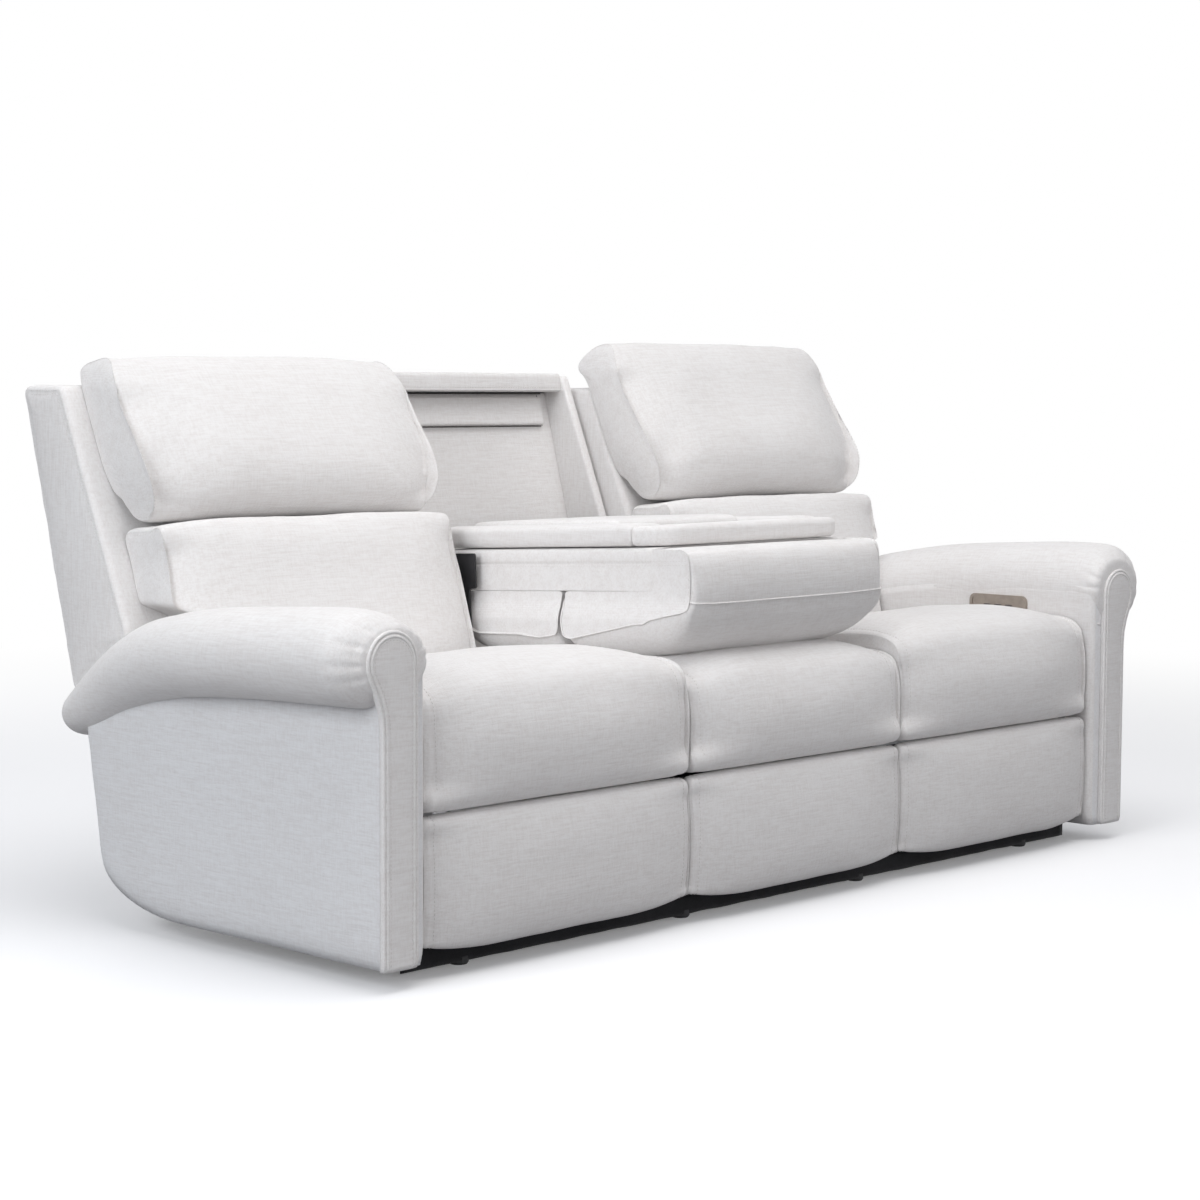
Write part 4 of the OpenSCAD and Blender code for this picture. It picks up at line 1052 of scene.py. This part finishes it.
def scroll_outline(inset, n):
    """Outline of the front scroll panel in (x, z), open at the floor end."""
    xi = ARM_OUT - 72.0
    head = [(SCROLL_X + SCROLL_R * math.cos(a), SCROLL_Z + SCROLL_R * math.sin(a))
            for a in np.radians(np.linspace(-28, 180, 40))]
    neck = [(ARM_OUT, LIFT + 1), (ARM_OUT, 300.0)]
    neck += [(ARM_OUT + d, SCROLL_Z - k * SCROLL_R) for d, k in ((0, 2.1), (2.5, 1.55), (11, 1.05), (22, 0.62))]
    tail = [(xi, SCROLL_Z - 10), (xi, 300.0), (xi, LIFT + 1)]
    p = resample(neck + head + tail, n, False)
    t = np.gradient(p, axis=0)
    nm = np.column_stack([-t[:, 1], t[:, 0]])
    nm /= np.linalg.norm(nm, axis=1)[:, None]
    return p + nm * inset


def scroll_panel(s, sd):
    """Front panel: crowned face inside a double welt."""
    n = 150
    name = "arm_scroll_" + sd

    def line(inset, y, k):
        p = scroll_outline(inset, k)
        return np.column_stack([p[:, 0], np.full(k, y), p[:, 1]])

    steps = ((0.2, 13.5), (0.2, 9.0), (1.0, 5.5), (3.0, 3.4), (6.0, 2.8), (12.0, 1.6), (20.0, 0.9), (29.0, 0.5))
    v = np.vstack([line(inset, y, n) for inset, y in steps])
    faces = grid_faces(len(steps), n, wrap=False)
    # front and rear are closed by pairing the two sides, then the floor end
    for off in ((len(steps) - 1) * n, 0):
        faces += end_quads(off, n)
    foot = [r * n for r in range(len(steps))]
    faces.append(tuple(foot + [c + n - 1 for c in foot[::-1]]))
    v[:, 1] += 0.6 * smooth_field(v, 1 / 60.0, 41 + s)
    v[:, 1] = np.maximum(v[:, 1], 0.2)
    side = np.array([s, 1, 1])
    piece(name, [(v * side, faces)], M_X, BODY, "scroll_panel_" + sd)
    parts = [tube(line(inset, y, 220) * side, r, 10, taper=2) for inset, y, r in ((1.6, 5.2, 3.3), (8.2, 3.6, 3.1))]
    piece(name + "_welt", parts, M_X, BODY)
    threads(name + "_thread", [flat_stitches(line(13.5, 1.6, 220) * side, (0, -1, 0), r=0.45)], BODY)


for s, sd in ((-1, "left"), (1, "right")):
    arm_body(s, sd)
    arm_roll(s, sd)
    scroll_panel(s, sd)


# ---------------------------------------------------------------- backs
def shell(s, sd):
    """The upholstered back: one cover over the wing and the part behind the pillows, and a lower one below it."""
    z0, z1 = 522.0, SHELL_TOP
    side = rounded([(shell_y(z0), z0), (rear_y(406), 406), (rear_y(z1), z1), (shell_y(z1), z1)], 13.0)
    middle = [((shell_y(560) + rear_y(470)) / 2, 505), ((shell_y(z1) + rear_y(z1)) / 2, z1 - 55)]
    x0, x1 = (SEAT_X0 + 0.5, WING_X) if s > 0 else (-WING_X, -SEAT_X0 - 0.5)
    pad = Pad(side, middle, x0, x1, n=148, edge=15, seam=13.0, crown=0.0, step=18.0, caps=6, bulge=4.0, blur=5.0)

    def clamp(g):
        g[..., 1] = np.clip(g[..., 1], shell_y(g[..., 2]), rear_y(g[..., 2]) + 1.5)
        g[..., 2] = np.minimum(g[..., 2], SHELL_TOP + 1.5)
        return g

    outer = pad.ends()[0][s > 0]
    upholster(pad, "back_cover_" + sd, M_Z, "back_" + sd, "back_shell_" + sd, 21 + s, 1.8, 1.3, clamp, [outer], 1.6)
    seen = lambda p: p[1] < rear_y(p[2]) - 22 and p[2] > 530
    seam_thread("back_thread_" + sd, pad, "back_" + sd, [(outer, 1), (outer, -1)], 4.0, part=seen)
    low = (([(shell_y(312), 312), (rear_y(312), 312), (rear_y(404.5), 404.5), (shell_y(520.5), 520.5)],
            SEAT_X0 + 0.5, SEAT_X1),
           ([(628, 150), (rear_y(150), 150), (rear_y(311), 311), (shell_y(311), 311)], 623 - 284, 623 + 284))
    parts = [both_sides(slab_mesh(rounded(out, 8.0), a, b, r=6, bulge=1.0, steps=6, caps=9, sub=11))[s > 0]
             for out, a, b in low]
    piece("back_cover_low_" + sd, parts, M_Z, "back_" + sd)


shell(-1, "left")
shell(1, "right")


LUMBAR_T, LUMBAR_Z0, LUMBAR_Z1 = 112.0, 380, 712


def lumbar_point(a, b):
    """A point of the lumbar pillow's side view: a of its depth in front of the shell, b of its height up."""
    z = LUMBAR_Z0 + (LUMBAR_Z1 - LUMBAR_Z0) * b
    return (shell_y(z) - PILLOW_GAP - LUMBAR_T * a, z)


HEAD_AXIS = (728.8, 778.0)
PILLOW_X = 1000.0
PILLOW_GAP = 0.4


def nose_r(s):
    return 61.0 if s > 0 else 64.0


def head_outline(s):
    """Side view of a head pillow: flat on the shell, a nose round its tilt axis, its top over the shell."""
    front = [(673, 816), (697, 856), (728, 896), (760, 944)]
    if s > 0:
        top = [(794, 1000), (818, 1043), (838, 1060), (866, 1062), (897, 1044), (921, 1020), (926, 1003), (905, 984)]
    else:
        top = [(786, 978), (806, 1005), (828, 1017), (852, 1017), (882, 1006), (903, 992), (900, 982)]
    rear = [(shell_y(z) - PILLOW_GAP, z) for z in (966, 900, 830, 775)]
    nr = nose_r(s)
    nose = [(HEAD_AXIS[0] + nr * math.cos(a), HEAD_AXIS[1] + nr * math.sin(a))
            for a in np.radians(np.linspace(-22, -166, 10))]
    o = chaikin(front + top + rear + nose + [(HEAD_AXIS[0] - nr + 1.2, 788)], 2)
    r = np.hypot(o[:, 0] - HEAD_AXIS[0], o[:, 1] - HEAD_AXIS[1])
    low = (o[:, 1] < HEAD_AXIS[1]) & (r > nr) & ((o[:, 0] < HEAD_AXIS[0]) | (o[:, 1] < HEAD_AXIS[1] - 25.0))
    for i in (0, 1):
        o[low, i] = HEAD_AXIS[i] + (o[low, i] - HEAD_AXIS[i]) * nr / r[low]
    return o


def lumbar_outline(s):
    at = lambda *q: [lumbar_point(a, b) for a, b in q]
    up = 66.4 - nose_r(s)
    top = [(757, 705 + up), (735, 707.5 + up), (705, 709.5 + up), (686, 714 + up), (666, 724 + up), (648, 722 + up),
           (636, 703 + up), (626, 670)]
    return chaikin(at((0, 0), (0, .5), (0, .97)) + top + at((1.04, .6), (.93, .3), (.78, .08), (.5, 0)), 2)


def rests(p):
    return 1.0 if p[0] > shell_y(p[1]) - 5 and p[1] < 972 else 0.0


def behind_shell(g):
    over = np.clip((g[..., 2] - 963.0) / 20.0, 0, 1) * 40.0
    g[..., 1] = np.minimum(g[..., 1], shell_y(g[..., 2]) - PILLOW_GAP + over)
    return g


def to_circle(g, radius, which):
    """Moves the points that which(dy, dz, distance) marks to a circle about the head pillow's tilt axis."""
    dy, dz = g[..., 1] - HEAD_AXIS[0], g[..., 2] - HEAD_AXIS[1]
    r = np.hypot(dy, dz)
    k = np.where(which(dy, dz, r), radius / np.maximum(r, 1.0), 1.0)
    g[..., 1], g[..., 2] = HEAD_AXIS[0] + dy * k, HEAD_AXIS[1] + dz * k
    return g


def head_limits(s):
    """Behind the shell's plane and inside the nose's circle, so that the pillow can tilt."""
    nr = nose_r(s) + 0.5
    return lambda g: to_circle(behind_shell(g), nr, lambda dy, dz, r: (dz < 0) & (r > nr) & ((dy < 0) | (dz < -25.0)))


def lumbar_limits(s):
    """Clear of the nose, and of the arm below z0."""
    z0 = 600.0 if s > 0 else 552.0
    clear = nose_r(s) + 2.9

    def f(g):
        g = to_circle(behind_shell(g), clear, lambda dy, dz, r: r < clear)
        lim = np.where(g[..., 2] < 660, 939.0 + np.clip((g[..., 2] - z0) / 32.0, 0, 1) * 77.0, PILLOW_X1 + 1)
        g[..., 0] = np.clip(g[..., 0], -lim, lim)
        return g
    return f


def end_pull(z0, z1, amount, corner=0.0, low=0.0):
    """Ends drawn in half way up, as they are between the corners of a filled cushion, and at the top corner."""
    def f(q, sign):
        t = np.clip((q[:, 1] - z0) / (z1 - z0), 0, 1)
        c = corner * (1.0 if sign < 0 else 0.85)
        return (amount * (4 * t * (1 - t)) ** 1.5 + low * (1 - np.clip(t / 0.35, 0, 1)) ** 2
                + c * np.clip((q[:, 1] - z1 + 70.0) / 75.0, 0, 1.1) ** 2)
    return f


def back_pad(name, outline, middle, x0, x1, body, node, seed, seam, crown, clampf, pull, cap, weigh):
    pad = Pad(outline, middle, x0, x1, n=128, edge=12, seam=seam, crown=crown, crown_run=150, step=13.0, bulge=4.0,
              flat=rests, slim=pull, slim_run=70.0, blur=8.0, weigh=weigh)
    rows = pad.ends()[0]
    upholster(pad, name, M_X, body, node, seed, 3.0, 1.6, clampf, rows, 1.8, cap=cap, gain=0.6)
    return pad, rows


def make_back(s, sd):
    x0, x1 = (SEAT_X0 + 0.6, PILLOW_X) if s > 0 else (-PILLOW_X, -SEAT_X0 - 0.6)
    up = 990.0 if s > 0 else 950.0

    def head_inset(p):
        if rests(p) or p[0] > 880:
            return 0.6
        return 4.0 if p[1] > up else 8.0

    def head_crown(p):
        if p[0] > 872:
            return 0.1
        if p[1] > up:
            return 0.25
        if p[1] < 735 or (p[0] > 760 and p[1] < 790):
            return 0.15
        return 1.0 + 0.75 * min(1.0, max(0.0, (870 - p[1]) / 60.0))

    mid = [(736, 772), (shell_y(840) - 52, 840), (shell_y(up - 20) - 36, up - 20)]
    pad, rows = back_pad("head_pad_" + sd, head_outline(s), mid, x0, x1, "headrest_" + sd,
                         "head_pillow_" + sd, 51 + s, head_inset, 22.0, head_limits(s),
                         end_pull(740, up + 66, -1.0, 30.0, 17.0), 16.0, head_crown)
    seam_thread("head_pad_thread_" + sd, pad, "headrest_" + sd, [(rows[0], -1), (rows[1], 1)], 4.0,
                part=lambda p: p[1] < shell_y(p[2]) - 30)
    mid = [lumbar_point(.45, .2), lumbar_point(.5, .80)]
    pad, rows = back_pad("lumbar_pad_" + sd, lumbar_outline(s), mid, x0, x1, "back_" + sd, "lumbar_pillow_" + sd,
                         61 + s, lambda p: 0.5 if rests(p) else 10.0, 21.0, lumbar_limits(s),
                         end_pull(600, 712, 4.0), 14.0,
                         lambda p: 0.05 if p[1] > 700 and p[0] > 680 else (0.4 if p[1] > 695 else 1.0))
    seam_thread("lumbar_pad_thread_" + sd, pad, "back_" + sd, [(rows[0], -1), (rows[1], 1)], 4.0,
                part=lambda p: p[1] < shell_y(p[2]) - 26 and p[2] > 585)


make_back(-1, "left")
make_back(1, "right")


# ---------------------------------------------------------------- recess behind the console
def rear_in(z):
    return rear_y(z) - 10.0


def recess():
    # full width above, and below a thinner inner board with a pocket for the console's bracket outside it
    boards = (([(post_y(620), 620), (rear_in(620), 620), (rear_in(985), 985), (post_y(985), 985)],
               RECESS_HW, POST_X1, 7, 5),
              ([(700, 44), (rear_in(44), 44), (rear_in(619.5), 619.5), (post_y(619.5), 619.5), (post_y(560), 560)],
               RECESS_HW, POST_X1 - 10.4, 6, 3),
              ([(700, 44), (rear_in(44), 44), (rear_in(369), 369), (741, 369)], POST_X1 - 10.2, POST_X1, 6, 3),
              ([(801, 369.5), (rear_in(369.5), 369.5), (rear_in(619.5), 619.5), (801, 619.5)],
               POST_X1 - 10.2, POST_X1, 6, 3))
    parts = []
    for out, a, b, corner, r in boards:
        parts += both_sides(slab_mesh(rounded(out, corner), a, b, r=r, caps=8, sub=9))
    piece("recess_posts_cover", parts, M_Z, BODY, "recess_posts")

    def board(name, outline, hw, node, mat=M_X, **k):
        piece(name, [slab_mesh(outline, -hw, hw, **k)], mat, BODY, node)

    py = lambda z: rear_in(z) - 12.0
    panel = [(py(300), 300), (rear_in(300), 300), (rear_in(951), 951), (py(951), 951)]
    board("recess_panel_cover", panel, RECESS_HW, "recess_back_panel", r=2.0, caps=8, sub=16)
    top = [(post_y(985), 951), (rear_in(951), 951), (rear_in(985), 990), (post_y(985) + 3, 991)]
    board("recess_rail_cover", rounded(top, 7.0), RECESS_HW, "recess_top_rail", r=2.0, caps=5, sub=6)
    z0, z1 = 880.0, 940.0
    strip = [(py(z0) - 14, z0), (py(z0), z0), (py(z1), z1), (py(z1) - 14, z1)]
    board("recess_strip_cover", rounded(strip, 4.0), 246, "recess_strip", r=4.0, caps=6, sub=5)
    # the folds above, below and beside the strip, in dark grey cloth: painted shade lines
    parts = []
    for za, zb, hw in ((945.5, 949.0, 262.0), (876.0, 878.6, 246.0)):
        q = [(py(za) - 1.6, za), (py(za), za), (py(zb), zb), (py(zb) - 1.6, zb)]
        parts.append(slab_mesh(rounded(q, 0.7), -hw, hw, r=0.7, caps=3, sub=4))
    for e in (-1, 1):
        path = [(e * (249.0 + 1.2 * math.sin(t * 3)), py(z) - 0.8, z)
                for t, z in zip(np.linspace(0, 1, 16), np.linspace(877, 944, 16))]
        parts.append(tube(path, 1.6, 8, taper=3))
    piece("recess_folds_painted_shade", parts, M_SHADE, BODY)
    # the rail's turned-under edge
    line = [(x, post_y(955) - 0.2, 955.5) for x in np.linspace(-272, 272, 120)]
    piece("recess_rail_seam", [tube(line, 1.5, 8, taper=3)], M_X, BODY)
    line = [(x, post_y(961) - 0.2, 960.5) for x in np.linspace(-270, 270, 120)]
    threads("recess_rail_thread", [flat_stitches(line, (0, -0.93, -0.37), r=0.45)], BODY)
    back = [(rear_in(44), 44), (rear_y(44), 44), (rear_y(985), 985), (rear_in(985), 985)]
    board("rear_cover_mid", back, POST_X1, "mid_rear_cover", M_Z, r=3.0, caps=10, sub=14)


recess()

# ---------------------------------------------------------------- console
# the split between its two pillows, half the pillows' width, where the front board begins, the pillows' top
SPLIT, CON_HW, CON_FRONT, CON_TOP = -258.5, 286.0, -487.6, 69.6


def con_mm(g):
    """The part's coordinates back to the console's own."""
    c, s = math.cos(CON_A), math.sin(CON_A)
    y, z = g[..., 1] - CON_Y, g[..., 2] - CON_Z
    return np.stack([g[..., 0], y * c - z * s, y * s + z * c], -1)


def con_slim(q, sign=0):
    """The ends of the console's pillows run in to the side of its box, which passes between the posts."""
    t = np.clip((q[:, 1] - 12.0) / 50.0, 0, 1)
    return 12.2 * t * t * (3 - 2 * t)


# side views of the console's pillows about its hinge axis, and the outlines of their end panels
HEAD_LINE = [(-258.9, 60), (-258.8, CON_TOP), (-266, CON_TOP), (-484.4, CON_TOP), (-484.6, 100), (-484.6, 140),
             (-486, 146.5), (-500, 146.5), (-556, 146.5), (-580, 139), (-592, 118), (-597, 84), (-595, 50),
             (-580, 4), (-534, -38), (-470, -55), (-380, -57), (-300, -56), (-268, -40), (-259.5, -6)]
HEAD_FACE = [(-260.5, 80), (-484, 80), (-484, 156), (-568, 156), (-579, 124), (-580, 80), (-577, 33), (-520, 24),
             (-440, 8), (-350, -8), (-285, -19), (-266, -14), (-261.5, 4)]
LUMB_LINE = [(-250.0, CON_TOP), (-256.2, CON_TOP), (-256.4, 60), (-255.6, 20), (-254.5, -18), (-262, -44),
             (-240, -56), (-150, -57), (-60, -56), (-5, -40), (38, -6), (55, 34), (55, CON_TOP)]
LUMB_FACE = [(-254.6, 80), (-253.6, 30), (-252, 0), (-246, -12), (-201, -18), (-148, -12), (-37, -12), (10, 2),
             (40, 34), (45, 75)]


def console_pad(name, line, face, middle, node, seed, across):
    out = chaikin(line, 2, 0.2)
    pad = Pad(out, middle, -CON_HW, CON_HW, n=144, edge=11, face=face, crown=9.0, crown_run=150, step=13.0, bulge=0.6,
              tight=True, flat=lambda p: 1.0 if p[1] > 66 and p[0] > CON_FRONT else 0.0, slim=con_slim, slim_run=36.0,
              blur=5.0, weigh=lambda p: 0.25 if p[1] > 136 else 1.0)

    def clamp(g):
        q = con_mm(g)
        lim = CON_HW - con_slim(q[..., 1:].reshape(-1, 2)).reshape(q.shape[:2])
        q[..., 0] = np.clip(q[..., 0], -lim, lim)
        q[..., 2] = np.clip(q[..., 2], -61.0, np.where(q[..., 1] > -483.0, 69.8, 147.0))
        q[..., 1] = np.maximum(q[..., 1], -599.0)
        return con_world(q.reshape(-1, 3)).reshape(g.shape)

    rows = pad.ends()[0]
    upholster(pad, name, M_X, "console", node, seed, 2.4, 1.5, clamp, rows, 1.4, world=con_world,
              pins=lambda p: p[1] < -460 and p[2] > 120, cap=16.0, gain=0.7, folds=0.25)
    g = pad.coords()
    parts = []
    for r in rows:
        idx = run_of(pad, lambda c: pad.pts[c, 1] < 62 and pad.pts[c, 0] > -583)
        off = np.array([1.0 * (1 if g[r, 0, 0] > 0 else -1), 0, 0])
        parts.append(tube(resample(g[r, idx] + off, 170, False), 1.6, 7, taper=3))
    if across is not None:
        c = int(np.argmin(((pad.pts - np.array(across)) ** 2).sum(1)))
        body = [i for i, k in enumerate(pad.kinds) if k in ("edge", "body")]
        nm = outward(g, vertex_normals(g))
        parts.append(tube(resample(g[body, c] + nm[body, c] * 0.6, 150, False), 1.7, 7, taper=3))
    piece(name + "_welt", parts, M_Z, "console")


console_pad("console_head_pad", HEAD_LINE, HEAD_FACE, [(-533, 112), (-530, 62), (-470, 22), (-310, 14)],
            "console_head_pillow", 71, (-594, 44))
console_pad("console_lumbar_pad", LUMB_LINE, LUMB_FACE, [(-205, 14), (0, 24)], "console_lumbar_pillow", 72, None)


# half a section of the console's box, from the middle of its underside round to the middle of its top
BOX_HALF = [(0.0, 69.9), (262.0, 69.9), (272.4, 69.9), (273.5, 69.9), (273.6, 70.4), (273.6, 71.4), (273.6, 84.0),
            (273.6, 100.0), (273.2, 112.0), (272.6, 117.5), (271.0, 120.0), (272.8, 122.5), (273.0, 130.0),
            (272.4, 141.0), (269.0, 147.6), (262.0, 149.6), (130.0, 149.8), (0.0, 149.8)]


def console_box():
    """The box, whose sides carry on from the pillows, drawn in at a stitched seam."""
    ys = [-487.4, -486.8, -484.5, -480] + list(np.linspace(-470, 60, 70)) + [68, 74, 77, 77.5]
    half = np.array(BOX_HALF)
    ring = np.vstack([half, (half[::-1] * np.array([-1, 1]))[1:-1]])
    g = []
    for y in ys:
        k = {77.5: 9.0, 77: 5.5, 74: 2.2, 68: 0.4}.get(y, 0.0)
        r = ring.copy()
        side = np.clip((np.abs(r[:, 0]) - 200) / 60.0, 0, 1)
        split = 2.6 * math.exp(-((y - SPLIT) / 5.0) ** 2) * np.clip((112 - r[:, 1]) / 26.0, 0, 1)
        puff = 0.5 * noise.noise(Vector((y / 23.0, 4.0, 1.0))) + 0.5 * noise.noise(Vector((y / 60.0, 9.0, 1.0)))
        r[:, 0] -= np.sign(r[:, 0]) * (k + split - min(0.3, puff)) * side
        r[:, 1] = np.where(r[:, 1] > 130, r[:, 1] - 0.6 * k, r[:, 1])
        g.append(np.column_stack([r[:, 0], np.full(len(r), y), r[:, 1]]))
    g = np.array(g)
    n = g.shape[1]
    faces = grid_faces(len(g), n)
    for off in (0, (len(g) - 1) * n):
        h = len(half)
        faces += [(off + i, off + i + 1, off + (n - i - 1) % n, off + (n - i) % n) for i in range(1, h - 2)]
        faces.append((off, off + 1, off + n - 1))
        faces.append((off + h - 2, off + h - 1, off + h))
    piece("console_box_cover", [(con_world(g), faces)], M_X, "console", "console_box", fine=True)
    st = []
    for s in (-1, 1):
        for z in (116.4, 124.0):
            line = con_world([(s * 273.8, y, z) for y in np.linspace(-572, 70, 110)])
            st.append(flat_stitches(line, (s, 0, 0), r=0.45))
        line = con_world([(s * 273.9, -575.5, z) for z in np.linspace(36, 132, 30)])
        st.append(flat_stitches(line, (s, 0, 0), r=0.45))
    threads("console_box_thread", st, "console")


def console_top():
    """Side rails, front rail and slab."""
    def along_y(v):
        return con_world(np.column_stack([v[:, 0], v[:, 2], v[:, 1]]))

    def across_x(v):
        return con_world(yz_to_part(v))

    rail = rounded([(174.2, 151.0), (271, 151.0), (271.5, 190), (225, 193.5), (178, 190.5)], 13.0)
    rails = both_sides(slab_mesh(rail, -431.6, 96, r=9, steps=5, caps=5, sub=6, place=along_y))
    for sd, mesh in zip(("left", "right"), rails):
        piece("console_rail_cover_" + sd, [mesh], M_Y, "console", "console_side_rail_" + sd, fine=True)
    arc = [(210 + 60 * math.cos(t), -446 - 60 * math.sin(t)) for t in np.linspace(0, math.pi / 2, 9)]
    front = [(270, -432.4)] + arc + [(-x, y) for x, y in arc[::-1]] + [(-270, -432.4)]
    piece("console_front_cover", [slab_mesh(front, 151.0, 188.0, r=12, bulge=1.5, steps=5, caps=7, sub=8,
                                            place=con_world)], M_X, "console", "console_front_rail", fine=True)
    slab = [(-310, 151.0), (96, 151.0), (96, 198), (60, 201), (-280, 201), (-310, 196)]
    piece("console_slab_cover", [slab_mesh(chaikin(slab, 2, 0.12), -173.0, 173.0, r=12, steps=5, caps=8, sub=9,
                                           place=across_x)], M_X, "console", "console_slab", fine=True)


console_box()
console_top()


# ---------------------------------------------------------------- black cloth under and between the seats, as painted shade
def hung_shade_cloth(name, x0, x1, y, z0, z1, seed, thick=2.2):
    """A dark strip, hung like dust cloth stapled along its top edge, its lower edge slightly uneven: painted shade
    under and between the seats.
    """
    nx, nz = max(6, int((x1 - x0) / 14)), max(4, int((z1 - z0) / 12))
    g = np.zeros((nz + 1, nx + 1, 3))
    for i in range(nz + 1):
        for j in range(nx + 1):
            x, t = x0 + (x1 - x0) * j / nx, i / nz
            ripple = noise.noise(Vector((x / 38.0, seed, t * 0.8)))
            hem = noise.noise(Vector((x / 60.0, seed, 3.0)))
            g[i, j] = (x, y + 0.9 * ripple * t, z1 + (z0 - z1) * t + 1.4 * t * hem)
    back = g.copy()
    back[..., 1] += thick
    ring = np.vstack([g, back[::-1]])
    rows, n = len(ring), nx + 1
    f = grid_faces(rows, n, wrap=False)
    f += [((rows - 1) * n + c, (rows - 1) * n + c + 1, c + 1, c) for c in range(nx)]
    for c in (0, nx):
        f += [(i * n + c, (i + 1) * n + c, (rows - 2 - i) * n + c, (rows - 1 - i) * n + c)
              for i in range(rows // 2 - 1)]
    piece(name, [(ring, f)], M_LINING_AND_SHADE, BODY)


# painted shade: the dark band below the front pads, and the gaps behind the middle front pad and at the outer pad ends
hung_shade_cloth("kick_shade_cloth", -947, 947, 80.2, 7.0, 45.0, 1.0)
hung_shade_cloth("front_shade_cloth_mid", -321, 321, 109.4, 46.0, 333.0, 2.0)
hung_shade_cloth("front_shade_cloth_left", -948, -924, 79.5, 46.0, 333.0, 3.0)
hung_shade_cloth("front_shade_cloth_right", 924, 948, 79.5, 46.0, 333.0, 4.0)


# ---------------------------------------------------------------- materials of the CAD nodes that stay
def dress(names, mat):
    for n in names:
        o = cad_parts[n]
        if not o.material_slots:
            o.data.materials.append(mat)
        for sl in o.material_slots:
            sl.link = "OBJECT"
            sl.material = mat


both = lambda *a: [x + "_" + sd for x in a for sd in ("left", "right")]
dress(["base_frame", "base_cross_beam", "console_brackets", "console_hinges"], M_BLACK)
dress(["feet"], M_NYLON)
dress(["mech_plates"] + both("main_links", "guide_links", "carry_links", "footrest_brackets", "back_brackets"), M_STEEL)
# boards and decks in black cloth, as cambric covers them, and also so that the holes at the pad ends look dark: partly
# painted shade
dress(["seat_decks", "mid_front_board"] + both("footrest_board"), M_LINING_AND_SHADE)
dress(["deck_supports"], M_PLY)
dress(["cup_holders"], M_CUP)
dress(both("switch_bezel"), M_BRONZE)
dress(["button_%s_%d" % (sd, i) for sd in ("left", "right") for i in (1, 2, 3)], M_BUTTON)


# ---------------------------------------------------------------- floor, world and lamps
# its glow under the object, and where it begins and ends to fade to white, in metres
FLOOR_GLOW, FADE_FROM, FADE_TO = 0.16, 1.4, 5.0


def floor():
    """Pale floor that fades to white away from the object. Rays that bounce off it see it darker."""
    me = bpy.data.meshes.new("floor")
    a = 40.0
    me.from_pydata([(-a, -a, 0), (a, -a, 0), (a, a, 0), (-a, a, 0)], [], [(0, 1, 2, 3)])
    o = bpy.data.objects.new("floor", me)
    scene.collection.objects.link(o)
    m = Nodes("floor_pale")
    seen = m.seen()
    away = m.new("ShaderNodeVectorMath", {0: m.where()}, operation="LENGTH").outputs["Value"]
    far = m.new("ShaderNodeMapRange", {"Value": away, "From Min": FADE_FROM, "From Max": FADE_TO},
                interpolation_type="SMOOTHSTEP").outputs["Result"]
    tone = m.new("ShaderNodeMixRGB", {"Fac": seen, "Color1": (0.30, 0.30, 0.31), "Color2": (0.84, 0.84, 0.85)})
    tone = m.new("ShaderNodeMixRGB", {"Fac": 1.0, "Color1": tone.outputs[0], "Color2": m.math("SUBTRACT", 1.0, far)},
                 blend_type="MULTIPLY")
    matt = m.new("ShaderNodeBsdfDiffuse", {"Color": tone.outputs[0]})
    glow = m.math("ADD", m.math("MULTIPLY", far, 1.0 - FLOOR_GLOW), FLOOR_GLOW)
    lit = m.new("ShaderNodeEmission", {"Color": (1.0, 1.0, 1.0), "Strength": m.math("MULTIPLY", seen, glow)})
    both_of = m.new("ShaderNodeAddShader", {0: matt.outputs[0], 1: lit.outputs[0]})
    m.put(both_of.outputs[0], m.out.inputs[0])
    me.materials.append(m.mat)


def studio():
    """White to camera, glossy and transmission rays, a soft pale sky to the rest."""
    scene.world = bpy.data.worlds.new("studio")
    m = Nodes(scene.world, "ShaderNodeOutputWorld")
    sky = m.new("ShaderNodeBackground", {"Color": (0.93, 0.95, 1.0), "Strength": 0.40})
    white = m.new("ShaderNodeBackground", {"Color": (1.0, 1.0, 1.0), "Strength": 1.0})
    mix = m.new("ShaderNodeMixShader", {0: m.seen(), 1: sky.outputs[0], 2: white.outputs[0]})
    m.put(mix.outputs[0], m.out.inputs[0])


def area(name, loc, target, size, power, color):
    d = bpy.data.lights.new(name, "AREA")
    d.shape = "RECTANGLE"
    d.size, d.size_y = size
    d.energy = power
    d.color = color
    o = bpy.data.objects.new(name, d)
    o.location = loc
    v = Vector(target) - Vector(loc)
    o.rotation_euler = v.to_track_quat("-Z", "Y").to_euler()
    scene.collection.objects.link(o)


floor()
studio()
# name, place, what it points at, size, power, colour
area("key_top", (-0.3, -0.9, 3.6), (0, 0, 0.4), (3.6, 2.6), 72, (1.0, 0.992, 0.985))
area("fill_left", (-4.2, -0.6, 2.0), (-0.8, 0, 0.5), (2.4, 2.0), 72, (0.94, 0.97, 1.0))
area("fill_front", (-0.4, -4.6, 1.5), (0.1, 0, 0.5), (3.0, 2.0), 32, (1.0, 0.99, 0.98))
area("fill_rear", (0.8, 4.4, 2.2), (0, 0.3, 0.5), (3.0, 2.0), 34, (0.98, 0.99, 1.0))
area("fill_right", (4.6, -0.6, 2.2), (0.8, 0, 0.5), (2.4, 2.0), 16, (1.0, 0.99, 0.98))
